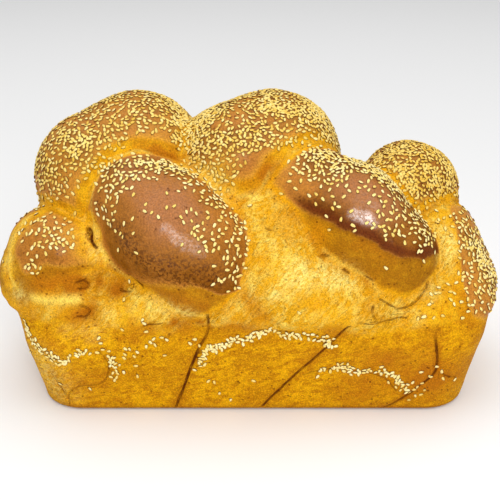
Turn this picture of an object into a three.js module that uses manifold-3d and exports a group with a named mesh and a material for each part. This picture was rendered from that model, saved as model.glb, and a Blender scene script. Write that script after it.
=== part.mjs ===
// A braided challah baked in a loaf tin, with sesame seeds baked onto its crust.
// Millimetres, +Z up, the loaf's length along X. The origin is under the middle of the loaf,
// on the flat face it rests on, and -Y is the side with the two dark, glossy strands.
import * as THREE from "three";
import { mergeVertices } from "three/addons/utils/BufferGeometryUtils.js";
import Module from "manifold-3d";

const wasm = await Module();
wasm.setup();

// The tin that shaped the lower part: half sizes at its floor and at its rim.
const TIN = {
  floorHalfLength: 117,
  floorHalfWidth: 50,
  rimHalfLength: 127,
  rimHalfWidth: 58,
  rimHeight: 54,
  cornerRadius: 24,
  floorEdgeRadius: 2.5,
  shoulderRadius: 16,
};
// How far the dough may spill outwards for each millimetre that it stands above the rim.
const SPILL = 1.3;

// The strands of the braid, each a chain of balls of dough: [x, y, z, radius].
const STRANDS = {
  leftKnot: [[-105, -20, 79, 28], [-109, -22, 69, 28]],
  leftKnotFoot: [[-113, -22, 58, 23], [-97, -30, 58, 24]],
  nearLeft: [[-60, -16, 108, 29], [-45, -25, 96, 32], [-30, -32, 85, 30], [-29, -34, 76, 27]],
  nearRight: [[12, -2, 112, 22], [26, -8, 110, 26], [50, -19, 101, 28], [71, -30, 84, 25]],
  rightKnot: [[98, -6, 80, 26], [108, -14, 60, 26]],
  rightKnotFoot: [[110, -26, 53, 22], [90, -33, 54, 22]],
  farLeft: [[-84, 7, 115, 36], [-64, 16, 120, 37], [-40, 34, 96, 28]],
  farMiddle: [[-8, 8, 121, 35], [10, 18, 120, 37], [27, 35, 92, 28]],
  farRight: [[80, 6, 102, 25], [87, 16, 103, 26], [92, 30, 84, 24]],
  tornMiddle: [[10, -14, 92, 30], [14, -28, 72, 30], [28, -32, 60, 28], [60, -32, 58, 26]],
  tornFoot: [[-14, -34, 58, 24], [0, -34, 58, 24]],
  nearFoot: [[-50, -34, 57, 23], [-72, -34, 56, 20]],
  backLeft: [[-98, 24, 76, 26], [-100, 26, 58, 24]],
  backMiddle: [[-10, 30, 74, 28], [-66, 32, 62, 22]],
  backRight: [[70, 32, 66, 24], [20, 34, 60, 20]],
  backRightFoot: [[108, 20, 56, 25], [86, 32, 56, 22]],
};
// The dough that the strands wrap: one ball swept from end to end.
const HEART = [[-84, 0, 70, 44], [84, 0, 66, 42]];
// Radii of the soft creases, where two bodies of dough run into each other.
const CREASE = { inStrand: 8, betweenStrands: 3.5, atRim: 5 };

// Seams where strands were pressed against the tin. Each point is [place along the wall, height].
const SEAMS = {
  front: [
    [[-24, 60], [-26, 48], [-33, 30], [-42, 5]],
    [[49, 55], [37, 41], [24, 26], [5, 4]],
    [[98, 60], [95, 48], [97, 30], [90, 16], [72, 4]],
    [[-82, 41], [-77, 30], [-83, 18], [-94, 15]],
    [[-23, 41], [-12, 46], [2, 52], [20, 51], [34, 46]],
    [[33, 27], [48, 31], [64, 27], [76, 16]],
    [[-118, 50], [-107, 34], [-92, 41]],
  ],
  back: [
    [[-70, 56], [-60, 38], [-66, 6]],
    [[-6, 58], [-18, 34], [-34, 6]],
    [[64, 54], [50, 34], [38, 6]],
    [[-8, 40], [8, 47], [26, 44], [42, 34]],
  ],
  left: [[[14, 58], [4, 36], [-10, 6]]],
  right: [[[-12, 54], [0, 34], [16, 6]]],
};
const SEAM = { halfWidth: 1.6, depth: 2.6, lift: 1.5, steps: 7 };

// The crust's mesh starts as a box that is pushed onto the dough along rays from a spine. Rays
// to the box's top start higher up the spine than rays to the tin's walls.
const SPINE = { halfLength: 78, low: 36, high: 70 };
const BOX = { halfLength: 135, halfWidth: 62, top: 158, bottom: -36 };
const CELLS = { along: 42, across: 17, aboveRim: 15 };
const ROWS_BELOW_RIM = [-36, -19, -14, -9, -4, 12, 33, 54];
const RAY = { start: 150, steps: 60, caution: 0.8 };
const RELAX = { rounds: 12, share: 0.5 };
const PROBE = 0.01;

const SEED = { halfLength: 1.75, halfWidth: 1.05, halfThickness: 0.6, taper: 0.35 };
const SEEDING = { count: 100, spacing: 11, tries: 9000, lowest: 52, steepest: 0.25, start: 20 };

const clamp = (value, low, high) => Math.min(high, Math.max(low, value));
const mix = (a, b, share) => a + (b - a) * share;

// The lower of two distances, with the crease between them rounded over the width k.
function softMin(a, b, k) {
  const share = clamp(0.5 + (0.5 * (b - a)) / k, 0, 1);
  return mix(b, a, share) - k * share * (1 - share);
}

// The higher of two distances, with the edge between them rounded to the radius r.
function roundMax(a, b, r) {
  return Math.hypot(Math.max(a + r, 0), Math.max(b + r, 0)) + Math.min(Math.max(a, b), -r);
}

// Distance from p to one link of a strand: a ball swept from a to b while its radius changes.
function linkDistance(p, a, b) {
  const dx = b[0] - a[0];
  const dy = b[1] - a[1];
  const dz = b[2] - a[2];
  const px = p.x - a[0];
  const py = p.y - a[1];
  const pz = p.z - a[2];
  const along = (px * dx + py * dy + pz * dz) / (dx * dx + dy * dy + dz * dz);
  const share = clamp(along, 0, 1);
  return Math.hypot(px - share * dx, py - share * dy, pz - share * dz) - mix(a[3], b[3], share);
}

function strandDistance(p, balls) {
  let nearest = linkDistance(p, balls[0], balls[1]);
  for (let i = 2; i < balls.length; i++) {
    nearest = softMin(nearest, linkDistance(p, balls[i - 1], balls[i]), CREASE.inStrand);
  }
  return nearest;
}

// Distance to the tin's tapered wall, with spill mm of extra room for each mm above the rim.
function wallDistance(p, spill) {
  const share = clamp(p.z / TIN.rimHeight, 0, 1);
  const room = Math.max(p.z - TIN.rimHeight, 0) * spill;
  const halfLength = mix(TIN.floorHalfLength, TIN.rimHalfLength, share) + room;
  const halfWidth = mix(TIN.floorHalfWidth, TIN.rimHalfWidth, share) + room;
  const x = Math.abs(p.x) - halfLength + TIN.cornerRadius;
  const y = Math.abs(p.y) - halfWidth + TIN.cornerRadius;
  return Math.hypot(Math.max(x, 0), Math.max(y, 0)) + Math.min(Math.max(x, y), 0) - TIN.cornerRadius;
}

// Distance from p to the crust, negative inside: braid and heart, held in by the tin below its rim.
function loafDistance(p) {
  let braid = strandDistance(p, HEART);
  for (const balls of Object.values(STRANDS)) {
    braid = softMin(braid, strandDistance(p, balls), CREASE.betweenStrands);
  }
  const risen = roundMax(braid, wallDistance(p, SPILL), CREASE.atRim);
  const pressed = roundMax(wallDistance(p, 0), p.z - TIN.rimHeight, TIN.shoulderRadius);
  return roundMax(softMin(risen, pressed, CREASE.atRim), -p.z, TIN.floorEdgeRadius);
}

// The point where a ray from the spine through a point of the box leaves the dough. The box's
// lowest edge lands on the face that the loaf rests on.
function onCrust(boxPoint) {
  const rise = clamp((boxPoint.z - TIN.rimHeight) / (BOX.top - TIN.rimHeight), 0, 1);
  const start = new THREE.Vector3(
    clamp(boxPoint.x, -SPINE.halfLength, SPINE.halfLength), 0, mix(SPINE.low, SPINE.high, rise));
  const ray = new THREE.Ray(start, boxPoint.clone().sub(start).normalize());
  const p = new THREE.Vector3();
  let reach = RAY.start;
  for (let i = 0; i < RAY.steps; i++) {
    reach -= RAY.caution * loafDistance(ray.at(reach, p));
  }
  ray.at(reach, p);
  return boxPoint.z === BOX.bottom ? p.setZ(0) : p;
}

// Moves a point that is close to the crust straight onto it.
function settle(p) {
  const distance = loafDistance(p);
  const slope = new THREE.Vector3(
    loafDistance(p.clone().setX(p.x + PROBE)) - distance,
    loafDistance(p.clone().setY(p.y + PROBE)) - distance,
    loafDistance(p.clone().setZ(p.z + PROBE)) - distance,
  ).divideScalar(PROBE);
  return p.addScaledVector(slope, -distance / slope.lengthSq());
}

// Values from a to b in count equal steps, both ends included.
function spread(a, b, count) {
  return Array.from({ length: count + 1 }, (_, i) => mix(a, b, i / count));
}

// The box as points, quads that each name four of them, and the ring of points at its foot.
function boxGrid() {
  const xs = spread(-BOX.halfLength, BOX.halfLength, CELLS.along);
  const ys = spread(-BOX.halfWidth, BOX.halfWidth, CELLS.across);
  const zs = [...ROWS_BELOW_RIM, ...spread(TIN.rimHeight, BOX.top, CELLS.aboveRim).slice(1)];
  const points = [];
  const quads = [];
  const numbers = new Map();
  function numberOf(point) {
    const key = point.toArray().join();
    if (!numbers.has(key)) numbers.set(key, points.push(point) - 1);
    return numbers.get(key);
  }
  function addSide(columns, rows, place) {
    const grid = columns.map((u) => rows.map((v) => numberOf(place(u, v))));
    for (let i = 1; i < columns.length; i++) {
      for (let j = 1; j < rows.length; j++) {
        quads.push([grid[i - 1][j - 1], grid[i][j - 1], grid[i][j], grid[i - 1][j]]);
      }
    }
    return grid.map((column) => column[0]);
  }
  addSide(xs, ys, (x, y) => new THREE.Vector3(x, y, BOX.top));
  const foot = [
    ...addSide(xs, zs, (x, z) => new THREE.Vector3(x, -BOX.halfWidth, z)).slice(1),
    ...addSide(ys, zs, (y, z) => new THREE.Vector3(BOX.halfLength, y, z)).slice(1),
    ...addSide([...xs].reverse(), zs, (x, z) => new THREE.Vector3(x, BOX.halfWidth, z)).slice(1),
    ...addSide([...ys].reverse(), zs, (y, z) => new THREE.Vector3(-BOX.halfLength, y, z)).slice(1),
  ];
  return { points, quads, foot };
}

// Evens out the crust's grid above the rim: each point moves towards the middle of its neighbours
// and settles back onto the crust.
function relax(places, points, quads) {
  const neighbours = places.map(() => new Set());
  for (const quad of quads) {
    quad.forEach((number, k) => {
      neighbours[number].add(quad[(k + 1) % 4]);
      neighbours[number].add(quad[(k + 3) % 4]);
    });
  }
  for (let round = 0; round < RELAX.rounds; round++) {
    const middles = neighbours.map((near) =>
      [...near].reduce((sum, i) => sum.add(places[i]), new THREE.Vector3()).divideScalar(near.size));
    places.forEach((place, i) => {
      if (points[i].z > TIN.rimHeight) settle(place.lerp(middles[i], RELAX.share));
    });
  }
}

// The closed crust: a grid over the top and the four sides, and a flat fan underneath.
function crustGeometry() {
  const { points, quads, foot } = boxGrid();
  const places = points.map(onCrust);
  relax(places, points, quads);
  const offCrust = (i, j) => Math.abs(loafDistance(places[i].clone().lerp(places[j], 0.5)));
  const triangles = quads.flatMap(([a, b, c, d]) =>
    offCrust(a, c) < offCrust(b, d) ? [a, b, c, a, c, d] : [a, b, d, b, c, d]);
  const middle = places.push(new THREE.Vector3(0, 0, 0)) - 1;
  foot.forEach((number, i) => triangles.push(middle, foot[(i + 1) % foot.length], number));
  return new THREE.BufferGeometry().setFromPoints(places).setIndex(triangles);
}

// A place on the tin's wall, and the direction straight out of that wall.
function onWall(side, along, height) {
  const share = clamp(height / TIN.rimHeight, 0, 1);
  const halfLength = mix(TIN.floorHalfLength, TIN.rimHalfLength, share);
  const halfWidth = mix(TIN.floorHalfWidth, TIN.rimHalfWidth, share);
  const places = {
    front: [along, -halfWidth, 0, -1],
    back: [along, halfWidth, 0, 1],
    left: [-halfLength, along, -1, 0],
    right: [halfLength, along, 1, 0],
  };
  const [x, y, outX, outY] = places[side];
  return { point: new THREE.Vector3(x, y, height), out: new THREE.Vector3(outX, outY, 0) };
}

// A thin wedge along a seam, whose sharp edge cuts a V into the crust and fades out at both ends.
function seamGeometry(side, route) {
  const { out } = onWall(side, 0, 0);
  const curve = new THREE.CatmullRomCurve3(
    route.map(([along, height]) => onWall(side, along, height).point));
  const rings = curve.getSpacedPoints(SEAM.steps).map((centre, i) => {
    const fade = Math.sin((Math.PI * (i + 0.6)) / (SEAM.steps + 1.2));
    const across = curve.getTangentAt(i / SEAM.steps).cross(out).normalize();
    const corner = (aside, outwards) =>
      centre.clone().addScaledVector(across, aside * fade).addScaledVector(out, outwards);
    return [
      corner(-SEAM.halfWidth, SEAM.lift),
      corner(SEAM.halfWidth, SEAM.lift),
      corner(0, -SEAM.depth * fade),
    ];
  });
  const corners = [];
  for (let i = 1; i < rings.length; i++) {
    for (let k = 0; k < 3; k++) {
      const next = (k + 1) % 3;
      const [a, b, c, d] = [rings[i - 1][k], rings[i - 1][next], rings[i][next], rings[i][k]];
      corners.push(a, b, c, a, c, d);
    }
  }
  const [first, last] = [rings[0], rings.at(-1)];
  corners.push(first[2], first[1], first[0], last[0], last[1], last[2]);
  return mergeVertices(new THREE.BufferGeometry().setFromPoints(corners), 1e-4);
}

// A sesame seed: a flattened ball, drawn out to a point at one end.
function seedGeometry() {
  const geometry = new THREE.SphereGeometry(1, 6, 3);
  geometry.rotateZ(Math.PI / 2);
  const places = geometry.attributes.position;
  for (let i = 0; i < places.count; i++) {
    const narrowing = 1 - SEED.taper * places.getX(i);
    places.setXYZ(
      i,
      places.getX(i) * SEED.halfLength,
      places.getY(i) * SEED.halfWidth * narrowing,
      places.getZ(i) * SEED.halfThickness,
    );
  }
  geometry.deleteAttribute("normal");
  geometry.deleteAttribute("uv");
  return mergeVertices(geometry, 1e-4);
}

// A repeatable draw of numbers from 0 to 1.
function drawFrom(start) {
  let state = start;
  return () => {
    state = (state * 1664525 + 1013904223) % 4294967296;
    return state / 4294967296;
  };
}

// Where seeds lie: spots on the crust's faces that look up and stand above the rim, a spacing apart.
function seedPlaces(crust) {
  const draw = drawFrom(SEEDING.start);
  const places = crust.attributes.position;
  const corner = (i) => new THREE.Vector3().fromBufferAttribute(places, crust.index.getX(i));
  const faces = [];
  let area = 0;
  for (let i = 0; i < crust.index.count; i += 3) {
    const face = new THREE.Triangle(corner(i), corner(i + 1), corner(i + 2));
    area += face.getArea();
    faces.push({ face, upTo: area });
  }
  const kept = [];
  for (let i = 0; i < SEEDING.tries && kept.length < SEEDING.count; i++) {
    const aim = draw() * area;
    const { face } = faces.find(({ upTo }) => upTo >= aim);
    const [s, t] = [Math.sqrt(draw()), draw()];
    const turn = draw() * Math.PI;
    const spot = new THREE.Vector3()
      .addScaledVector(face.a, 1 - s)
      .addScaledVector(face.b, s * (1 - t))
      .addScaledVector(face.c, s * t);
    const out = face.getNormal(new THREE.Vector3());
    const seeded = spot.z > SEEDING.lowest && out.z > SEEDING.steepest;
    if (seeded && kept.every((other) => other.spot.distanceTo(spot) > SEEDING.spacing)) {
      kept.push({ spot, out, turn });
    }
  }
  return kept;
}

function solidOf(geometry) {
  return new wasm.Manifold(new wasm.Mesh({
    numProp: 3,
    vertProperties: new Float32Array(geometry.attributes.position.array),
    triVerts: new Uint32Array(geometry.index.array),
  }));
}

// The whole loaf: crust, less the seams on its tin sides, with the seeds fused on, and its middle
// put over the origin.
function loafGeometry() {
  const crust = crustGeometry();
  const seams = Object.entries(SEAMS).flatMap(([side, routes]) =>
    routes.map((route) => solidOf(seamGeometry(side, route))));
  const seed = seedGeometry();
  const up = new THREE.Vector3(0, 0, 1);
  const seeds = seedPlaces(crust).map(({ spot, out, turn }) => {
    const laid = new THREE.Quaternion().setFromUnitVectors(up, out);
    const turned = laid.multiply(new THREE.Quaternion().setFromAxisAngle(up, turn));
    const matrix = new THREE.Matrix4().compose(spot, turned, new THREE.Vector3(1, 1, 1));
    return solidOf(seed.clone().applyMatrix4(matrix));
  });
  const loaf = solidOf(crust)
    .subtract(wasm.Manifold.union(seams))
    .add(wasm.Manifold.union(seeds));
  const made = loaf.getMesh();
  const geometry = new THREE.BufferGeometry()
    .setAttribute("position", new THREE.BufferAttribute(made.vertProperties, 3))
    .setIndex(new THREE.BufferAttribute(made.triVerts, 1));
  geometry.computeBoundingBox();
  const middle = geometry.boundingBox.getCenter(new THREE.Vector3());
  return geometry.translate(-middle.x, -middle.y, 0);
}

const crustMaterial = new THREE.MeshStandardMaterial({
  color: new THREE.Color().setRGB(0.71, 0.45, 0.16, THREE.SRGBColorSpace),
  roughness: 0.45,
  metalness: 0,
});

const challah = new THREE.Group();
const loaf = new THREE.Mesh(loafGeometry(), crustMaterial);
loaf.name = "challah_loaf";
challah.add(loaf);

export default challah;
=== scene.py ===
"""The looks of a braided challah: its baked crust, its sesame seeds, and a plain studio."""
import math

import bpy
import numpy as np
from bpy.props import FloatProperty, FloatVectorProperty, IntProperty, PointerProperty
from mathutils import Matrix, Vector


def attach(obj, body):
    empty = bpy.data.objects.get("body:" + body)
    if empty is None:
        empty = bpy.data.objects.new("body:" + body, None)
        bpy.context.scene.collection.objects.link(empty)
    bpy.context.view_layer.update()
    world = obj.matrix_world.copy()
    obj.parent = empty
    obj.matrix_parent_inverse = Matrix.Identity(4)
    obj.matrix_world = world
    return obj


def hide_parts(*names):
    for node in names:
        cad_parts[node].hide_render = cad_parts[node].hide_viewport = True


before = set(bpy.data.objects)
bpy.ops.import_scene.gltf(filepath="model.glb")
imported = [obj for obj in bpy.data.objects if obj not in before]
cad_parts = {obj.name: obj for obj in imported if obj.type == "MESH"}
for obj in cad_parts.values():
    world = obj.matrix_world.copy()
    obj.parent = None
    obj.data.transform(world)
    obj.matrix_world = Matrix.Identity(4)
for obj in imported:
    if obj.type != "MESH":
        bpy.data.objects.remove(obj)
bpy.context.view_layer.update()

bl_info = {
    "name": "Challah",
    "version": (1, 0, 0),
    "blender": (4, 5, 0),
    "location": "View3D > Sidebar > Challah",
    "description": "Builds a challah with sesame seeds in a plain studio",
    "category": "Add Mesh",
}

MM = 0.001

# The tin that shaped the lower part, in mm: half sizes at its floor and at its rim, its roundings,
# and SPILL, how far the dough may bulge over the rim for each mm above it.
FLOOR_HALF_LENGTH = 117.0
FLOOR_HALF_WIDTH = 50.0
RIM_HALF_LENGTH = 127.0
RIM_HALF_WIDTH = 58.0
RIM_HEIGHT = 54.0
CORNER_RADIUS = 24.0
FLOOR_EDGE_RADIUS = 2.5
SHOULDER_RADIUS = 16.0
SPILL = 1.3

# The strands of the braid, each a chain of balls of dough: (x, y, z, radius) in mm.
STRANDS = {
    "left knot": [(-105, -20, 79, 28), (-109, -22, 69, 28)],
    "left knot foot": [(-113, -22, 58, 23), (-97, -30, 58, 24)],
    "near left": [(-60, -16, 108, 29), (-45, -25, 96, 32), (-30, -32, 85, 30), (-29, -34, 76, 27)],
    "near right": [(12, -2, 112, 22), (26, -8, 110, 26), (50, -19, 101, 28), (71, -30, 84, 25)],
    "right knot": [(98, -6, 80, 26), (108, -14, 60, 26)],
    "right knot foot": [(110, -26, 53, 22), (90, -33, 54, 22)],
    "far left": [(-84, 7, 115, 36), (-64, 16, 120, 37), (-40, 34, 96, 28)],
    "far middle": [(-8, 8, 121, 35), (10, 18, 120, 37), (27, 35, 92, 28)],
    "far right": [(80, 6, 102, 25), (87, 16, 103, 26), (92, 30, 84, 24)],
    "torn middle": [(10, -14, 92, 30), (14, -28, 72, 30), (28, -32, 60, 28), (60, -32, 58, 26)],
    "torn foot": [(-14, -34, 58, 24), (0, -34, 58, 24)],
    "near foot": [(-50, -34, 57, 23), (-72, -34, 56, 20)],
    "back left": [(-98, 24, 76, 26), (-100, 26, 58, 24)],
    "back middle": [(-10, 30, 74, 28), (-66, 32, 62, 22)],
    "back right": [(70, 32, 66, 24), (20, 34, 60, 20)],
    "back right foot": [(108, 20, 56, 25), (86, 32, 56, 22)],
}
# The dough that the strands wrap: one ball swept from end to end.
HEART = [(-84, 0, 70, 44), (84, 0, 66, 42)]
# Over how many mm creases are rounded: within a strand, between strands, and at the tin's rim.
CREASE_IN_STRAND = 8.0
CREASE_BETWEEN_STRANDS = 4.5
CREASE_AT_RIM = 5.0

# How each strand baked: how dark its egg wash went, how much of the wash's shine is left, and how
# brown its bare crust is. The wash's end is blurred over fade mm, and stops short of the creases
# between pale_gap and full_gap mm from the next strand. seeds is how many sesame seeds lie on each
# square mm of its crown, beside those of the drifts, toast how golden they are, and torn how far its
# edge was pulled apart, in mm.
BAKED_KEYS = ("tone", "gloss", "dull", "fade", "pale_gap", "full_gap", "seeds", "toast", "torn")
BAKED = {
    "left knot": (0.66, 0.1, 1.0, 4, 3, 7, 0.02, 0.3, 2),
    "near left": (0.88, 0.15, 0.9, 1.5, 0.4, 3, 0.008, 0.3, 1),
    "near right": (0.93, 0.1, 1.0, 1, 0.4, 5, 0.012, 0.4, 1),
    "right knot": (0.58, 0.1, 0.1, 7, 2, 8, 0.05, 0.4, 14),
    "far left": (0.57, 0.05, 0.45, 7, 3, 10, 0.17, 0.7, 1.5),
    "far middle": (0.6, 0.05, 0.45, 7, 3, 10, 0.25, 0.7, 3),
    "far right": (0.6, 0.05, 0.4, 6, 2, 8, 0.3, 0.9, 2),
    "back left": (0.55, 0.05, 0.4, 6, 4, 11, 0.05, 0.6, 3),
    "back middle": (0.55, 0.05, 0.4, 6, 4, 11, 0.05, 0.6, 3),
    "back right": (0.5, 0.05, 0.4, 6, 4, 11, 0.05, 0.6, 3),
    "left knot foot": (0, 0, 0.4, 1, 1, 2, 0.004, 0.2, 8),
    "near foot": (0, 0, 0.1, 1, 1, 2, 0.004, 0.2, 18),
    "torn foot": (0, 0, 0.0, 1, 1, 2, 0.004, 0.2, 16),
}
BARE = (0, 0, 0.1, 1, 1, 2, 0.0006, 0.2, 40)
# The lines at which the egg wash ends, (x, z) in mm, and the one of strands that have no wash.
WASH_LINES = {
    "left knot": [(-135, 88), (-131, 92), (-127, 94), (-124, 87), (-117, 81), (-106, 86), (-80, 84)],
    "near left": [(-90, 86), (-74, 84), (-65, 81), (-52, 80), (-41, 82), (-31, 83), (-24, 80), (-16, 74),
                  (-6, 73), (4, 82)],
    "near right": [(8, 112), (19, 112), (26, 112), (32, 111), (42, 108), (49, 105), (59, 101), (66, 96),
                   (77, 92), (91, 90), (102, 84)],
    "right knot": [(96, 124), (104, 108), (108, 90), (111, 68), (116, 54), (130, 44)],
    "far left": [(-130, 104), (-97, 104), (-80, 112), (-40, 112)],
    "far middle": [(-40, 122), (-14, 124), (14, 128), (40, 122)],
    "far right": [(60, 108), (110, 106)],
    "back left": [(-130, 84), (-60, 84)],
    "back middle": [(-90, 84), (30, 84)],
    "back right": [(0, 80), (110, 80)],
}
NO_WASH = [(0, 400)]
# The x from which a strand's wash fades in, and the x up to which its end is blurred more.
WASH_STARTS = {"near right": -12}
WASH_SOFT = {"near left": -18, "near right": 44}
LEFT_OF_ALL = -400
# The strands that baked as one with another, and those that didn't.
JOINED = {"right knot foot": "right knot"}
BAKED_APART = [name for name in STRANDS if name not in JOINED]

# Where sesame seeds gathered, or where fewer lie: (x, y, z, reach) in mm and seeds per square mm.
DRIFTS = [
    (-78, -28, 128, 6, 0.14), (-73, -27, 132, 5, 0.18), (-66, -26, 134, 5, 0.20),
    (-58, -27, 134, 5, 0.24), (-50, -28, 133, 5, 0.34), (-43, -26, 132, 5, 0.36),
    (-37, -25, 130, 5, 0.34), (-31, -26, 127, 5, 0.22), (-63, -34, 129, 6, 0.12),
    (-70, -36, 124, 6, 0.12), (-75, -36, 112, 9, 0.06), (-68, -34, 120, 8, 0.10),
    (-26, -32, 120, 6, 0.12), (-20, -35, 115, 6, 0.14), (-12, -38, 106, 8, 0.16),
    (-7, -43, 97, 8, 0.13), (-23, -49, 101, 8, 0.08), (-28, -52, 106, 6, 0.06), (-10, -54, 85, 9, 0.11),
    (-62, -46, 98, 7, 0.02), (22, -16, 136, 6, 0.20), (33, -14, 137, 6, 0.44), (43, -14, 134, 6, 0.46),
    (53, -19, 132, 6, 0.40), (63, -24, 127, 7, 0.38), (74, -24, 118, 7, 0.38),
    (84, -24, 107, 7, 0.24), (91, -28, 99, 6, 0.10), (28, -22, 131, 9, 0.14),
    (40, -28, 127, 9, 0.13), (54, -33, 120, 8, 0.08), (68, -34, 113, 9, 0.10),
    (79, -40, 102, 8, 0.11), (66, -46, 106, 6, 0.05), (88, -38, 97, 7, 0.09),
    (-105, -38, 97, 7, 0.14), (-95, -36, 101, 6, 0.14), (-113, -45, 84, 5, 0.12),
    (-83, -36, 97, 6, -0.25), (-81, -40, 89, 5, -0.2), (-119, -46, 74, 5, 0.04), (-115, -31, 102, 5, 0.16),
    (-126, -41, 82, 8, -0.08), (-125, -36, 90, 5, -0.08), (-92, -42, 84, 8, -0.03),
    (-44, 13, 154, 10, 0.26), (-39, 9, 149, 8, 0.28), (-35, 5, 145, 7, 0.26), (-38, -4, 142, 7, 0.28),
    (-31, -7, 143, 6, 0.10), (-104, -8, 136, 9, 0.06), (-109, -11, 124, 9, 0.07), (-112, -12, 113, 8, 0.05),
    (29, 22, 154, 8, 0.26), (35, 17, 150, 8, 0.28), (41, 19, 144, 8, 0.26), (14, 8, 156, 11, 0.12),
    (36, 4, 145, 6, 0.10), (-60, -58, 47, 10, 0.012), (86, -55, 12, 9, 0.03), (96, -57, 22, 8, 0.03),
    (110, -21, 95, 7, 0.20), (116, -23, 89, 7, 0.26), (121, -24, 82, 7, 0.26),
    (125, -26, 74, 7, 0.26), (129, -28, 66, 7, 0.20), (124, -36, 66, 7, 0.08), (131, -31, 56, 6, 0.10),
    (103, -24, 96, 7, -0.06), (103, -32, 86, 9, -0.06), (95, 2, 124, 12, 0.12),
    (20, -12, 142, 8, -0.24), (12, -18, 138, 8, -0.26), (30, -8, 140, 5, -0.20),
    (5, -23, 131, 8, -0.24), (-2, -25, 128, 6, -0.20), (-50, -14, 140, 7, -0.34),
    (-62, -15, 142, 6, -0.24), (-42, -12, 135, 5, -0.20), (-72, -17, 139, 5, -0.12),
    (-88, -26, 118, 9, -0.05), (-14, -24, 134, 8, 0.03), (-106, -46, 84, 6, -0.03),
    (-115, 4, 133, 10, 0.18), (-111, -12, 127, 9, 0.16), (-103, -23, 119, 8, 0.12), (-94, -17, 140, 9, 0.13),
    (-30, 4, 147, 9, 0.10), (-82, -18, 142, 7, 0.08), (-33, -17, 129, 6, 0.08),
    (-18, -20, 141, 7, 0.14), (-27, -15, 138, 7, 0.10), (14, -17, 140, 8, 0.10), (45, -25, 131, 6, 0.24),
    (61, -20, 129, 6, 0.22), (-15, -44, 110, 8, 0.07), (89, -40, 97, 7, 0.05),
]

# Soft swellings of the dough and, below zero, hollows: (x, y, z, reach) and height in mm.
SWELLS = [
    (-52, -56, 97, 16, 2.2), (68, -48, 113, 16, 2.2), (-71, -46, 72, 6, -2.4), (-106, -51, 67, 7, 0.9),
    (-116, -44, 59, 8, -0.8), (-40, -56, 53, 7, -0.6), (-103, -49, 76, 5, -0.5), (-1, -29, 115, 4, 0.7),
    (22, -58, 81, 8, 0.7), (40, -52, 81, 9, 0.6), (5, -53, 92, 5, -0.7), (5, -57, 83, 5, 0.6),
    (33, -44, 102, 6, -0.6), (10, -36, 113, 5, 0.5), (32, -60, 70, 5, -0.5), (103, -30, 90, 7, 0.6),
]

# Where the egg wash kept most of its shine: (x, y, z, reach) in mm and how strong it is.
GLOSSY = [(57, -47, 112, 9, 0.95), (-41, -58, 104, 9, 0.24)]

# Painted sheen: where the egg wash is given a rosy colour that stands in for its soft reflection of the
# light above, (x, y, z, reach) in mm and how strong.
PAINTED_SHEEN_SPOTS = [
    (-48, -47, 120, 12, 0.9), (-36, -50, 116, 11, 0.9), (-44, -56, 111, 10, 0.7), (-62, -36, 128, 10, 0.6),
    (47, -36, 125, 10, 0.8), (60, -39, 121, 10, 0.9), (69, -40, 114, 9, 0.7), (57, -47, 109, 8, 0.6),
    (-62, 0, 148, 16, 0.4), (-2, -12, 146, 14, 0.4), (-92, -6, 142, 12, 0.4),
]

# Where the egg wash missed a strand's side: (x, y, z, reach) in mm and how fully.
MISSED = [
    (-131, -38, 80, 6, 1.4), (-130, -34, 88, 6, 1.4), (-127, -30, 96, 6, 1.4),
    (-120, -27, 102, 6, 1.2), (-112, -25, 106, 5, 1.0), (-129, -43, 73, 5, 1.2),
    (-85, -34, 101, 6, 0.8), (-86, -38, 94, 6, 0.5), (-14, -44, 108, 7, 0.25), (92, -44, 88, 6, 0.3),
    (-39, -18, 131, 4, 1.0), (-34, -20, 129, 4, 1.0), (-29, -22, 127, 4.5, 1.0),
    (-23, -24, 124, 4.5, 1.0), (-18, -27, 120, 5, 1.0), (-13, -29, 115, 5, 1.0), (-9, -32, 110, 4, 0.9),
    (-82, -34, 98, 5, 1.0), (-81, -40, 88, 5, 1.0), (-83, -31, 106, 5, 0.8), (-94, -36, 100, 7, 0.5),
    (-90, -42, 89, 6, 0.45), (-77, -42, 86, 4, 0.6), (-33, -17, 128, 5, 0.6),
    (27, -33, 122, 6, 0.35), (-17, -24, 131, 6, 0.6), (77, -51, 96, 5, 0.25), (-76, -35, 118, 8, 0.12),
]
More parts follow.
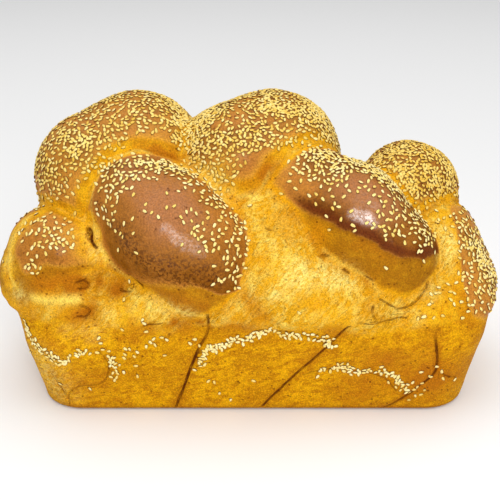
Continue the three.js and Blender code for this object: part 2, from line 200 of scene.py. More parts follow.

# Smears of browner crust, partly painted shade in folds and hollows and down the tin's right side: (x, y, z,
# reach) in mm and how strong each is.
SMEARS_AND_PAINTED_SHADE = [
    (-71, -46, 72, 5.5, 1.6), (-88, -46, 74, 2.5, 1.0), (-50, -17, 137, 5, 0.9),
    (-44, -16, 134, 5, 0.9), (-58, -17, 140, 5, 0.6),
    (-54, -55, 53, 5, 0.7), (-44, -55, 54, 4, 0.5), (-36, -54, 52, 5, 0.9), (-12, -57, 56, 7, 0.8),
    (40, -57, 53, 6, 0.8), (22, -30, 127, 6, 0.5), (-116, -44, 58, 6, 0.5), (-92, -50, 60, 7, 0.6),
    (4, -24, 130, 5, 0.6), (1, -25, 125, 5, 0.5), (90, -50, 48, 7, 0.5), (-106, -55, 44, 6, 0.4),
    (56, -52, 14, 13, 0.5), (72, -53, 34, 10, 0.5), (-64, -54, 48, 8, 0.4), (-4, -55, 24, 6, 0.15),
    (26, -54, 38, 9, 0.35), (-84, -52, 60, 6, 0.4), (90, -53, 26, 14, 1.0), (60, -54, 30, 16, 0.5),
    (114, -45, 26, 15, 0.5), (118, -40, 46, 10, 0.4), (-103, -49, 76, 6, 0.8), (-112, -49, 76, 5, 0.7),
    (-94, -48, 76, 6, 0.9), (-104, -50, 74, 6, 0.5), (-89, -47, 75, 4, 0.7), (-41, -60, 74, 6, 0.5),
    (-34, -62, 72, 6, 0.5),
    (-26, -61, 70, 6, 0.5), (-50, -57, 76, 6, 0.4), (-41, -55, 57, 2.5, 0.9), (-27, -55, 57, 2.5, 0.9),
    (-2, -58, 56, 6, 0.5), (33, -44, 103, 5, 0.5), (114, -44, 62, 9, 0.5), (-87, -51, 61, 5, 0.6),
    (36, -46, 90, 4, 0.4), (112, -50, 54, 7, 0.4), (6, -23, 127, 5, 0.5), (12, -22, 132, 5, 0.5),
    (98, -51, 13, 9, 0.6), (80, -52, 14, 9, 0.4), (-84, -52, 16, 16, 0.4), (-97, -51, 22, 8, 0.3),
    (-88, -47, 73, 6, 0.5), (-80, -45, 74, 5, 0.4), (60, -57, 66, 5, 0.4), (66, -56, 60, 5, 0.4),
    (-6, -24, 127, 6, 0.4), (47, -47, 83, 3, 0.5), (59, -51, 80, 3, 0.5), (-95, -53, 57, 4, 0.4),
    (113, -41, 66, 7, 0.4), (-28, -17, 133, 4, 0.3), (0, -50, 58, 6, 0.2),
    (14, -37, 111, 5, 0.25), (18, -42, 105, 6, 0.25), (54, -50, 99, 5, 0.5), (62, -51, 96, 5, 0.5),
    (70, -51, 94, 5, 0.4), (44, -50, 81, 6, 0.15), (60, -53, 79, 6, 0.3), (17, -45, 97, 7, 0.2),
    (92, -48, 68, 7, 0.25), (107, -40, 70, 6, 0.25),
]

# Paler crust, stretched thin, and partly painted light on spots that lie in shade or face the light; below
# zero deeper orange, partly painted shade: (x, y, z, reach) in mm and how strong.
PALE_SPOTS_AND_PAINTED_LIGHT = [
    (22, -57, 82, 8, 0.8), (23, -54, 88, 5, 0.6), (36, -52, 82, 7, 0.8), (45, -51, 79, 7, 0.8),
    (51, -53, 76, 5, 0.5), (11, -35, 113, 6, 0.2), (-1, -29, 116, 4, 0.8), (8, -48, 97, 5, 0.6),
    (-4, -43, 99, 4.5, 0.6), (10, -60, 75, 4, 0.8), (-29, -22, 127, 5, 0.5), (-50, -55, 67, 5, 0.7),
    (-42, -56, 65, 6, 0.7), (-34, -58, 63, 5, 0.6), (97, -28, 95, 6, 0.5), (95, -38, 94, 6, 0.4),
    (101, -34, 86, 7, 0.6),
    (104, -30, 91, 5, 0.5), (-84, -52, 51, 6, 0.3), (-96, -53, 54, 6, 0.25), (-108, -50, 16, 12, 0.5),
    (-112, -49, 34, 8, 0.35), (-130, -36, 84, 6, 0.5), (-122, -46, 68, 6, 0.6), (-3, -37, 108, 4, 0.4),
    (-128, -30, 93, 6, 0.5), (-121, -26, 102, 5, 0.4), (-113, -8, 118, 9, 0.3), (-116, -12, 108, 8, 0.3),
    (-33, -15, 131, 6, 0.4), (76, -54, 62, 5, 0.4), (92, -47, 71, 5, 0.5), (-76, -53, 60, 5, 0.4),
    (4, -52, 91, 5, -0.8), (5, -57, 83, 5, -0.3), (7, -42, 103, 5, -0.4), (33, -44, 103, 7, -0.6),
    (17, -32, 121, 6, -0.6), (32, -60, 70, 5, -0.7), (1, -25, 125, 6, -0.7), (56, -57, 62, 5, -0.5),
    (-98, -53, 61, 5, -0.5), (20, -46, 99, 5, -0.4), (6, -37, 109, 7, -0.4), (2, -47, 98, 6, -0.25),
    (-4, -30, 114, 5, -0.3), (46, -54, 73, 5, -0.3), (57, -53, 73, 5, -0.3),
    (-22, -25, 123, 5, 0.5), (-14, -29, 116, 5, 0.5), (-24, -18, 127, 6, 0.4), (-15, -24, 128, 6, 0.3),
    (-83, -36, 99, 5, 0.5), (-80, -40, 89, 5, 0.8), (62, -56, 68, 7, -0.4), (48, -57, 69, 6, -0.3),
    (70, -54, 72, 5, -0.3), (-1, -56, 71, 5, 0.5), (-1, -54, 80, 4, 0.3), (16, -43, 104, 5, -0.3),
    (-95, -38, 97, 5, 0.4), (-20, -21, 134, 5, 0.4), (14, -38, 109, 6, -0.5), (5, -58, 58, 8, -0.3),
]

# Where dark flecks crowd the egg wash: (x, y, z, reach) in mm and how strong.
MOTTLES = [
    (-66, -50, 104, 9, 0.6), (-61, -55, 97, 9, 0.7), (-50, -60, 90, 10, 0.8), (-38, -62, 89, 9, 0.8),
    (-27, -63, 86, 9, 0.9), (-18, -61, 84, 7, 0.8), (-74, -44, 108, 8, 0.3), (45, -46, 107, 6, 0.9),
    (37, -41, 111, 6, 0.8), (52, -49, 102, 5, 1.6), (60, -50, 99, 5, 1.6), (29, -36, 115, 6, 0.6),
    (-103, -46, 84, 8, 0.5), (74, -50, 93, 6, 0.3), (86, -45, 90, 6, 0.4), (70, -49, 99, 6, 0.4),
]

# Seams where strands were pressed against the tin: how deep, and (place along, height) in mm.
SEAMS = {
    "front": [
        (1.0, [(-24, 61), (-25, 50), (-29, 41), (-33, 30), (-38, 14), (-42, 2)]),
        (0.9, [(49, 55), (37, 41), (24, 26), (5, 3)]),
        (0.9, [(98, 61), (95, 49), (97, 32), (96, 24), (89, 16), (80, 7), (71, 1)]),
        (0.6, [(101, 24), (106, 21), (112, 20), (118, 22)]),
        (0.4, [(-81, 40), (-77, 32), (-78, 23), (-83, 18), (-94, 16), (-100, 10), (-101, 3)]),
        (0.3, [(-118, 51), (-113, 41), (-106, 34), (-101, 36)]),
        (0.6, [(-110, 22), (-107, 17), (-103, 10)]),
        (0.4, [(-29, 38), (-21, 43), (-12, 46), (-4, 48), (1, 52), (14, 52), (27, 50), (35, 46)]),
        (0.4, [(28, 25), (38, 28), (49, 28), (60, 26), (70, 22), (76, 14)]),
    ],
    "back": [
        (0.9, [(-70, 58), (-60, 38), (-66, 2)]),
        (0.8, [(-6, 60), (-18, 34), (-34, 2)]),
        (0.9, [(64, 56), (50, 34), (38, 2)]),
        (0.5, [(-8, 40), (8, 47), (26, 44), (44, 34)]),
    ],
    "left": [(0.8, [(14, 58), (4, 36), (-10, 2)])],
    "right": [(0.8, [(-12, 56), (0, 34), (16, 2)])],
}
# Trails of sesame seeds caught in folds of the tin sides: how thick they lie, 0 to 1, and their
# (x, y, z) in mm. TRAIL_WIDTH is half as wide as they are.
SEED_TRAILS = [
    (0.7, [(-122, -44, 49), (-118, -48, 45), (-114, -51, 41)]),
    (1.0, [(-114, -51, 41), (-110, -54, 38), (-105, -55, 35), (-100, -55, 33), (-95, -55, 37)]),
    (0.9, [(-95, -55, 37), (-91, -56, 39), (-87, -56, 40)]),
    (0.5, [(-80, -56, 42), (-77, -56, 40)]),
    (1.0, [(-75, -55, 36), (-74, -55, 33), (-73, -55, 30)]),
    (0.4, [(-74, -54, 27), (-75, -54, 23)]),
    (0.15, [(-69, -55, 34), (-65, -56, 39), (-60, -56, 41), (-52, -55, 46), (-46, -55, 48)]),
    (0.5, [(-32, -55, 45), (-29, -56, 43)]),
    (1.0, [(-28, -55, 33), (-26, -56, 37), (-25, -56, 40)]),
    (0.9, [(-25, -56, 40), (-18, -56, 43), (-12, -56, 45)]),
    (0.6, [(-12, -56, 45), (-7, -56, 47), (-2, -56, 48)]),
    (0.7, [(-1, -56, 49), (3, -56, 50), (8, -56, 52), (13, -56, 51)]),
    (0.45, [(13, -56, 51), (22, -57, 50), (31, -57, 49)]),
    (1.0, [(35, -56, 48), (38, -56, 46), (40, -56, 44)]),
    (0.6, [(34, -54, 26), (40, -54, 28)]),
    (1.0, [(40, -54, 28), (46, -54, 29), (52, -54, 27), (56, -54, 26)]),
    (0.7, [(56, -54, 26), (62, -54, 27), (70, -54, 26)]),
    (0.7, [(70, -54, 26), (76, -53, 22), (80, -53, 17), (83, -52, 13)]),
    (0.9, [(-6, 56, 42), (8, 57, 47), (26, 57, 45)]),
    (0.6, [(26, 57, 45), (42, 55, 36)]),
]
TRAIL_WIDTH = 1.0

# Dark slits and creases in the dough: how deep, and their (x, y, z) in mm.
SLITS = [
    (1.0, [(-86, -33, 100), (-84.5, -34, 98), (-84, -36, 95), (-82, -38.5, 92)]),
    (0.5, [(-87, -34, 97), (-85.5, -36, 95)]),
    (0.9, [(-65, -47.5, 79), (-62, -48, 77), (-60, -49, 75.5), (-58, -50, 74.5)]),
    (0.6, [(-70, -47, 73), (-67, -48, 72), (-64, -49, 72.5)]),
    (0.6, [(65, -55, 70), (71, -54, 66), (76, -52, 63), (82, -50, 65), (88, -47, 70), (92, -45, 75)]),
    (0.6, [(-91, -46, 75.5), (-88, -45, 76), (-85, -45, 74), (-86, -46.5, 72.3), (-90, -48, 72.8)]),
    (0.6, [(-89, -52, 65), (-86, -51, 63), (-85, -51, 60.5), (-87, -52, 58), (-91, -53, 58.5)]),
    (0.6, [(-57, -55, 54), (-54, -56, 55.5), (-50, -57, 56), (-47, -57, 56.5)]),
    (0.6, [(54, -58, 58), (60, -58, 57), (66, -57, 58), (73, -55, 58.5), (79, -52, 58)]),
    (0.8, [(46.3, -47, 83), (47.7, -47, 82)]),
    (0.6, [(57, -50.5, 81), (60, -51.5, 79.5)]),
    (0.8, [(61, -57, 66.5), (60.5, -57, 64)]),
    (0.6, [(61, -58, 62), (62.5, -58, 60)]),
    (0.6, [(35, -46, 90.5), (37.5, -45.5, 90)]),
    (0.6, [(6, -43, 105), (8, -43, 103.5)]),
]
# Pale lips of crust: how strong and how wide in mm, and their (x, y, z) in mm.
LIPS = [
    (0.5, 0.9, [(-80, -35, 93), (-83, -34, 99), (-82, -33, 105), (-82, -31, 113), (-80, -28, 122),
                (-74, -24, 129), (-67, -21, 135), (-60, -19, 137), (-54, -19, 135)]),
    (0.6, 0.9, [(-79, -37, 92), (-75, -40, 86), (-69, -43, 81), (-64, -44, 77)]),
    (0.9, 2.4, [(-114, -50, 68), (-107, -51, 67.5), (-99, -52, 68), (-91, -51, 68)]),
    (0.5, 1.0, [(-117, -25, 104), (-124, -30, 97), (-128, -35, 88), (-128, -41, 79), (-123, -47, 71)]),
    (0.4, 0.7, [(1, -28, 117), (4, -26, 120), (6, -25, 124), (8, -24, 128)]),
    (0.7, 1.4, [(-8, -27, 115), (-4, -28, 116), (1, -30, 116)]),
    (0.5, 1.0, [(36, -44, 93), (40, -45, 89), (46, -47, 86), (53, -49, 83), (59, -51, 80), (63, -53, 74)]),
    (0.5, 1.1, [(-60, -50, 69), (-50, -55, 67), (-42, -56, 65), (-34, -58, 63), (-24, -58, 61)]),
    (0.5, 1.2, [(-38, -20, 131), (-29, -24, 126), (-20, -28, 120), (-13, -30, 114)]),
]

# The crust's mesh starts as a box that is pushed onto the dough along rays from a spine, in mm.
SPINE_HALF_LENGTH = 78.0
SPINE_LOW = 36.0
SPINE_HIGH = 70.0
BOX_HALF_LENGTH = 135.0
BOX_HALF_WIDTH = 62.0
BOX_TOP = 158.0
BOX_BOTTOM = -36.0

# The random fields that make the loaf uneven: how far each swings, how big its lumps are in mm,
# the start of its draw, and whether a finer field lies over it.
FIELDS = {
    "lumps": (1.0, 24.0, 13, True),
    "grit": (0.16, 5.0, 21, True),
    "wrinkles": (1.0, 4.0, 31, False),
    "wash line waves": (1.6, 9.0, 41, True),
    "wash line fray": (0.8, 3.2, 43, False),
    "crease fray": (1.2, 7.0, 51, True),
    "wash start fray": (4.0, 10.0, 55, False),
    "rim waves": (4.5, 26.0, 61, True),
    "rim fray": (1.0, 6.0, 63, False),
    "seed clumps": (1.0, 9.0, 71, False),
    "trail breaks": (1.0, 5.0, 81, False),
    "seam wander": (0.35, 5.0, 91, False),
    "smear patches": (0.35, 5.0, 95, False),
    "crease patches": (1.0, 16.0, 97, True),
}
# The way the torn dough was pulled, up to the right across the near strands, and how much longer
# its wrinkles are that way.
PULL = (0.64, -0.20, 0.74)
WRINKLE_STRETCH = (2.6, 1.0, 1.0)

# The most seeds on a square mm, and how near each other they lie there, against their spacing.
# Seeds more golden than GOLDEN_FROM are in a piece of their own.
MOST_COVER = 0.8
CLOSEST = 0.62
GOLDEN_FROM = 0.6

# The spaces that patterns are drawn in: their lean in degrees and how far they are drawn out.
SPACES = {"pull": (-48, (3.2, 1.2, 1)), "flat": (-15, (2.2, 2.2, 1))}
# The crust's patterns: their space, scale, detail, roughness and swirl.
PATTERNS = {
    "broad": ("place", 60, 3, 0.55, 0),
    "patches": ("place", 190, 5, 0.62, 0),
    "streaks": ("flat", 420, 5, 0.68, 0),
    "grain": ("place", 1250, 3, 0.75, 0),
    "specks": ("place", 1000, 2, 0.55, 0),
    "flecks": ("place", 640, 3, 0.6, 0),
    "fibre": ("pull", 560, 2.5, 0.55, 1.0),
    "ridges": ("pull", 380, 2, 0.5, 0.9),
    "folds": ("pull", 200, 3, 0.5, 1.6),
}
PORE_SCALE = 330
# The seeds' pattern: its scale, detail, roughness and swirl.
SEED_GRAIN = (2600, 2, 0.55, 0)
# Where on the scale of browning each colour of the egg wash lies.
WASH_STOPS = {"orange": 0.05, "wash_orange": 0.30, "wash_brown": 0.60, "wash_dark": 1.0}
# What is the same all over the crust, the seeds and the floor.
CRUST_SKIN = {
    "Coat Roughness": 0.17,
    "Coat IOR": 1.8,
    "Specular IOR Level": 0.05,
    "Subsurface Weight": 0.05,
    "Subsurface Radius": (1.0, 0.5, 0.1),
    "Subsurface Scale": 0.002,
}
SEED_SKIN = {"Roughness": 0.5, "Specular IOR Level": 0.25}
FLOOR_SKIN = {"Roughness": 0.9, "Specular IOR Level": 0.1}

# The studio: the floor's half size and height in mm, the lights in metres, the film's width in mm.
FLOOR_HALF_SIZE = 3000.0
FLOOR_HEIGHT = -0.3
FRONT_LIGHT = dict(place=(0.115, -0.82, 0.52), size=(0.34, 0.40))
CEILING_LIGHT = dict(place=(0, 0, 1.8), aim=(0, 0.12, 0), size=(2.6, 2.6))
FILM_WIDTH = 36


# Shapes of dough, as whole arrays of points in mm


def mix(a, b, share):
    """From a to b by the share."""
    return a + (b - a) * share


def ramp(values, low, high):
    """0 below low, 1 above high, and a smooth S between them."""
    share = np.clip((values - low) / (high - low), 0, 1)
    return share * share * (3 - 2 * share)


def bell(distance, width):
    """1 at no distance, falling off as a bell curve of the half width."""
    return np.exp(-(distance / width) ** 2)


def lengths(rows):
    """How long each row is, as an arrow."""
    return np.linalg.norm(rows, axis=1)


def unit(rows):
    """The rows as arrows one long."""
    return rows / lengths(rows)[:, None]


def soft_min(a, b, width):
    """The lower of two distances, with the crease between them rounded over the width."""
    share = np.clip(0.5 + 0.5 * (b - a) / width, 0, 1)
    return mix(b, a, share) - width * share * (1 - share)


def round_max(a, b, radius):
    """The higher of two distances, with the edge between them rounded to the radius."""
    outside = np.hypot(np.maximum(a + radius, 0), np.maximum(b + radius, 0))
    return outside + np.minimum(np.maximum(a, b), -radius)


def link_distance(points, start, end):
    """Distance to a ball of dough swept from start to end while its radius changes."""
    start, end = np.array(start, float), np.array(end, float)
    way = end[:3] - start[:3]
    share = np.clip((points - start[:3]) @ way / (way @ way), 0, 1)
    nearest = start[:3] + share[:, None] * way
    return lengths(points - nearest) - mix(start[3], end[3], share)


def strand_distance(points, balls):
    """Distance to a strand: the links between its balls, run softly into each other."""
    distance = link_distance(points, balls[0], balls[1])
    for start, end in zip(balls[1:], balls[2:]):
        distance = soft_min(distance, link_distance(points, start, end), CREASE_IN_STRAND)
    return distance


def tin_half_sizes(height):
    """The tin's half length and half width at a height, even above the rim."""
    share = np.clip(height / RIM_HEIGHT, 0, 1)
    return (mix(FLOOR_HALF_LENGTH, RIM_HALF_LENGTH, share),
            mix(FLOOR_HALF_WIDTH, RIM_HALF_WIDTH, share))


def wall_distance(points, spill):
    """Distance to the tin's tapered wall, with spill mm more room for each mm above the rim."""
    room = np.maximum(points[:, 2] - RIM_HEIGHT, 0) * spill - CORNER_RADIUS
    half_length, half_width = tin_half_sizes(points[:, 2])
    x = np.abs(points[:, 0]) - half_length - room
    y = np.abs(points[:, 1]) - half_width - room
    outside = np.hypot(np.maximum(x, 0), np.maximum(y, 0))
    return outside + np.minimum(np.maximum(x, y), 0) - CORNER_RADIUS


def loaf_distance(points):
    """Distance to the crust, negative inside: braid and heart, held in by the tin."""
    braid = strand_distance(points, HEART)
    for balls in STRANDS.values():
        braid = soft_min(braid, strand_distance(points, balls), CREASE_BETWEEN_STRANDS)
    height = points[:, 2]
    risen = round_max(braid, wall_distance(points, SPILL), CREASE_AT_RIM)
    pressed = round_max(wall_distance(points, 0), height - RIM_HEIGHT, SHOULDER_RADIUS)
    return round_max(soft_min(risen, pressed, CREASE_AT_RIM), -height, FLOOR_EDGE_RADIUS)


def slope_at(points, probe=0.02):
    """The distance to the crust at each point, and how fast it grows along x, y and z."""
    distance = loaf_distance(points)
    steps = [loaf_distance(points + probe * axis) for axis in np.eye(3)]
    return distance, (np.stack(steps, -1) - distance[:, None]) / probe


def pushed_onto_crust(box, start_reach=150.0, steps=60, caution=0.8, close_enough=0.0005):
    """Where the rays from the spine through the box's points leave the dough: each point is moved
    in along its ray by most of its distance to the crust, until that is close to none."""
    rise = np.clip((box[:, 2] - RIM_HEIGHT) / (BOX_TOP - RIM_HEIGHT), 0, 1)
    along = np.clip(box[:, 0], -SPINE_HALF_LENGTH, SPINE_HALF_LENGTH)
    starts = np.stack([along, np.zeros(len(box)), mix(SPINE_LOW, SPINE_HIGH, rise)], -1)
    ways = unit(box - starts)
    reach = np.full(len(box), start_reach)
    moving = np.arange(len(box))
    for _ in range(steps):
        distance = loaf_distance(starts[moving] + ways[moving] * reach[moving, None])
        reach[moving] -= caution * distance
        moving = moving[np.abs(distance) > close_enough]
    places = starts + ways * reach[:, None]
    places[box[:, 2] == BOX_BOTTOM, 2] = 0
    return places


def stations(low, high, spacing, share=1):
    """Evenly spaced numbers from low to high, as many as the spacing gives times the share."""
    return np.linspace(low, high, round(share * (high - low) / spacing) + 1)


def box_grid(spacing, rows_below_rim=0.52, rows_above_rim=0.92):
    """A box's top and four sides as points, quads of four point numbers, and the foot's ring: a
    grid of stations on each side, whose shared edges are merged."""
    xs = stations(-BOX_HALF_LENGTH, BOX_HALF_LENGTH, spacing)
    ys = stations(-BOX_HALF_WIDTH, BOX_HALF_WIDTH, spacing)
    zs = np.concatenate([stations(BOX_BOTTOM, RIM_HEIGHT, spacing, rows_below_rim),
                         stations(RIM_HEIGHT, BOX_TOP, spacing, rows_above_rim)[1:]])
    sides = [
        (xs, ys, lambda a, b: (a, b, np.full_like(a, BOX_TOP))),
        (xs, zs, lambda a, b: (a, np.full_like(a, -BOX_HALF_WIDTH), b)),
        (ys, zs, lambda a, b: (np.full_like(a, BOX_HALF_LENGTH), a, b)),
        (xs[::-1], zs, lambda a, b: (a, np.full_like(a, BOX_HALF_WIDTH), b)),
        (ys[::-1], zs, lambda a, b: (np.full_like(a, -BOX_HALF_LENGTH), a, b)),
    ]
    points, quads, foot, count = [], [], [], 0
    for across, up, place in sides:
        a, b = np.meshgrid(across, up, indexing="ij")
        points.append(np.stack(place(a, b), -1).reshape(-1, 3))
        numbers = count + np.arange(a.size).reshape(a.shape)
        corners = [numbers[:-1, :-1], numbers[1:, :-1], numbers[1:, 1:], numbers[:-1, 1:]]
        quads.append(np.stack(corners, -1).reshape(-1, 4))
        foot.append(numbers[1:, 0])
        count += a.size
    rounded = np.round(np.concatenate(points), decimals=6)
    points, same = np.unique(rounded, axis=0, return_inverse=True)
    same = same.reshape(-1)
    return points, same[np.concatenate(quads)], same[np.concatenate(foot[1:])]


def relaxed(places, free, quads, rounds=10, share=0.5):
    """The free points, each moved towards the middle of its neighbours and back onto the crust."""
    starts = np.concatenate([quads.ravel(), np.roll(quads, -1, 1).ravel()])
    ends = np.concatenate([np.roll(quads, -1, 1).ravel(), quads.ravel()])
    count = np.bincount(starts, minlength=len(places))
    for _ in range(rounds):
        sums = [np.bincount(starts, places[ends, k], len(places)) for k in range(3)]
        middles = np.stack(sums, -1) / count[:, None]
        moved = mix(places[free], middles[free], share)
        distance, slope = slope_at(moved)
        places[free] = moved - slope * (distance / (slope * slope).sum(1))[:, None]
    return places


def cloud(points, size, start, primes=(73856093, 19349663, 83492791), entries=4096, shift=13):
    """A smooth random field of -1 to 1 whose lumps are about size mm: random values on a cubic
    lattice, picked from a table by the cells' numbers, blended between the eight nearest corners."""
    table = np.random.default_rng(start).uniform(-1, 1, entries)
    scaled = points / size
    cell = np.floor(scaled).astype(np.int64)
    share = scaled - cell
    share = share * share * (3 - 2 * share)
    total = np.zeros(len(points))
    for corner in np.ndindex(2, 2, 2):
        x, y, z = ((cell + corner) * primes).T
        key = x ^ y ^ z
        weight = np.prod(np.where(corner, share, 1 - share), axis=1)
        total += weight * table[(key ^ (key >> shift)) & (entries - 1)]
    return total


def uneven(points, name, finer_share=0.5, finer_size=0.45):
    """The named random field: a cloud times its swing, where asked with a finer one laid over it."""
    swing, size, start, layered = FIELDS[name]
    field = cloud(points, size, start)
    if layered:
        field = (field + finer_share * cloud(points, finer_size * size, start + 1)) / (1 + finer_share)
    return swing * field


def along_pull(points):
    """The points with their first axis along the pull of the torn dough."""
    pull = np.array(PULL)
    pull /= np.linalg.norm(pull)
    side = np.cross(pull, (0, 1, 0))
    side /= np.linalg.norm(side)
    return points @ np.stack([pull, side, np.cross(pull, side)], -1)


def gathered(places, spots):
    """The sum over the spots, (x, y, z, reach, strength), of their strength, fading with distance."""
    total = np.zeros(len(places))
    for x, y, z, reach, strength in spots:
        total += strength * np.exp(-((places - (x, y, z)) ** 2).sum(1) / reach ** 2)
    return total


# Lines drawn on the crust


def smoothed(route, pieces=4):
    """A curve through the route's points: cubic pieces between each two of them."""
    route = np.array(route, float)
    steps = np.linspace(0, len(route) - 1, pieces * (len(route) - 1) + 1)
    padded = np.vstack([2 * route[0] - route[1], route, 2 * route[-1] - route[-2]])
    first = np.minimum(steps.astype(int), len(route) - 2)
    t = (steps - first)[:, None]
    a, b, c, d = (padded[first + k] for k in range(4))
    return 0.5 * (2 * b + (c - a) * t + (2 * a - 5 * b + 4 * c - d) * t ** 2
                  + (3 * b - a - 3 * c + d) * t ** 3)


def on_wall(side, route):
    """A smooth curve in space through a route of (along, height) on one of the tin's walls."""
    along, height = smoothed(route).T
    half_length, half_width = tin_half_sizes(height)
    places = {
        "front": (along, -half_width, height),
        "back": (along, half_width, height),
        "left": (-half_length, along, height),
        "right": (half_length, along, height),
    }
    return np.stack(places[side], -1)


def beside_lines(points, normals, curves, widest=14, lift_ignored=0.75, far=99.0, tiny=1e-9):
    """For each point, the mm to the side of the nearest curve, below zero on its left, the mm from
    it, the mm past its end, and its number. Most of what lifts a point off a curve is ignored."""
    side, away = np.full(len(points), far), np.full(len(points), far)
    which = np.zeros(len(points), int)
    for number, curve in enumerate(curves):
        middle = curve.mean(0)
        reach = lengths(curve - middle).max() + widest
        near = np.flatnonzero(((points - middle) ** 2).sum(1) < reach ** 2)
        for start, end in zip(curve, curve[1:]):
            way = end - start
            share = np.clip((points[near] - start) @ way / (way @ way), 0, 1)
            gap = points[near] - start - share[:, None] * way
            gap -= lift_ignored * (gap * normals[near]).sum(1)[:, None] * normals[near]
            across = np.cross(way, normals[near])
            across /= lengths(across)[:, None] + tiny
            distance = lengths(gap)
            nearer = distance < away[near]
            side[near[nearer]] = (gap * across).sum(1)[nearer]
            away[near[nearer]] = distance[nearer]
            which[near[nearer]] = number
    return side, away, np.sqrt(np.maximum(away ** 2 - side ** 2, 0)), which


# How the crust baked, as facts about each of its points


def nearest_strands(places):
    """The number of the strand that each point lies on, and the mm by which the next strand is
    further away. Strands that baked as one count as one."""
    distances = np.stack([strand_distance(places, STRANDS[name]) for name in BAKED_APART])
    for part, whole in JOINED.items():
        row = distances[BAKED_APART.index(whole)]
        np.minimum(row, strand_distance(places, STRANDS[part]), out=row)
    order = np.argsort(distances, axis=0)
    columns = np.arange(len(places))
    return order[0], distances[order[1], columns] - distances[order[0], columns]


def strand_settings(owner, x):
    """What is said of each point's own strand, by name, and the wash line's height at its x."""
    rows = np.array([BAKED.get(name, BARE) for name in BAKED_APART], float).T
    own = {key: row[owner] for key, row in zip(BAKED_KEYS, rows)}
    for key, given in (("start", WASH_STARTS), ("soft", WASH_SOFT)):
        own[key] = np.array([given.get(name, LEFT_OF_ALL) for name in BAKED_APART])[owner]
    lines = (np.array(WASH_LINES.get(name, NO_WASH), float).T for name in BAKED_APART)
    own["line"] = np.stack([np.interp(x, *line) for line in lines])[owner, np.arange(len(x))]
    return own


def egg_wash(places, own, ragged_gap, above_rim, start_run=44, soft_run=30, softer=6):
    """The share of egg wash on each point, the mm that it lies above the wash's line, and how far
    the wash had started along its strand there and wasn't missed out."""
    x = places[:, 0]
    above = places[:, 2] - own["line"] + uneven(places, "wash line waves")
    above += uneven(places, "wash line fray")
    fade = own["fade"] + softer * (1 - ramp(x, own["soft"] - soft_run, own["soft"]))
    wash = ramp(above, -fade, fade) * ramp(ragged_gap, own["pale_gap"], own["full_gap"])
    wash *= (own["tone"] > 0) * above_rim
    started = ramp(x + uneven(places, "wash start fray"), own["start"], own["start"] + start_run)
    reached = np.clip(1 - gathered(places, MISSED), 0, 1)
    return wash * (started * reached), above, started, reached


def seams(places, normals):
    """The seams and slits: the mm to the side of the nearest, the mm from it and past its end, and
    its depth. Their sides wander a little."""
    curves = [on_wall(wall, route) for wall, group in SEAMS.items() for _, route in group]
    curves += [smoothed(route) for _, route in SLITS]
    depths = [depth for group in (*SEAMS.values(), SLITS) for depth, _ in group]
    side, away, past, which = beside_lines(places, normals, curves)
    return side + uneven(places, "seam wander"), away, past, np.array(depths)[which]


def along_lines(places, normals, lines):
    """A bell across the nearest of the lines, (strength, width, route), as strong as it says."""
    _, away, _, which = beside_lines(places, normals, [smoothed(line[2]) for line in lines])
    strengths, widths = (np.array([line[k] for line in lines])[which] for k in (0, 1))
    return strengths * bell(away, widths)


def seeds_wanted(places, normals, own, gap, above_rim, torn, wash, trail, lost_on_torn=0.7,
                 lost_on_dull=0.8, trail_crowding=1.4, seedless_foot=6, fewest=0.0004):
    """Seeds on each square mm: those of the crowns and drifts in clumps, fewer where the dough is
    torn or dull, and those of the trails."""
    clumps = ramp(uneven(places, "seed clumps"), low=-0.75, high=0.4)
    crown = ramp(normals[:, 2], low=-0.05, high=0.4) * ramp(gap, low=1, high=5) * above_rim
    on_crown, in_drifts = mix(0.45, 1.2, clumps), mix(0.6, 1.1, clumps)
    cover = np.maximum(own["seeds"] * crown * on_crown + gathered(places, DRIFTS) * in_drifts, 0)
    cover = np.maximum(cover, fewest) * (1 - lost_on_torn * torn * (1 - wash))
    cover *= 1 - lost_on_dull * ramp(own["dull"], low=0.5, high=0.9) * (1 - wash)
    unbroken = ramp(uneven(places, "trail breaks"), low=-0.9, high=-0.2)
    cover += MOST_COVER * np.minimum(trail_crowding * trail, 1) * unbroken
    cover[places[:, 2] < seedless_foot] = 0
    return np.minimum(cover, MOST_COVER)


def browner_and_painted_shade(places, crease, away, depth, above_rim, least=0.85, crease_shade=0.5, seam=0.4,
                  seam_width=3.0):
    """Browner smears and painted shade: the listed ones, partly browner crust and partly painted shade,
    patches of painted shade in the creases, and bands of painted shade along the seams.
    """
    painted_shade_and_smear = gathered(places, SMEARS_AND_PAINTED_SHADE) * (least + uneven(places, "smear patches"))
    painted_shade_and_smear += crease_shade * crease * ramp(uneven(places, "crease patches"), low=0, high=0.5)
    painted_shade_and_smear += seam * depth * bell(away, seam_width) * (1 - above_rim)
    return np.clip(painted_shade_and_smear, 0, 1)


def browning(above, high_up=0.86, more_at_line=0.36, fade=9):
    """How brown the egg wash is, more so just above its line, for the mm above that line."""
    return high_up + more_at_line * np.exp(-np.maximum(above, 0) / fade)


def wash_drip(above, gap, own, height=2.4, width=3.3, least_tone=0.9):
    """The dark drip just above the wash's line, on the strands that went darkest."""
    return bell(above - height, width) * ramp(gap, low=2, high=6) * (own["tone"] > least_tone)


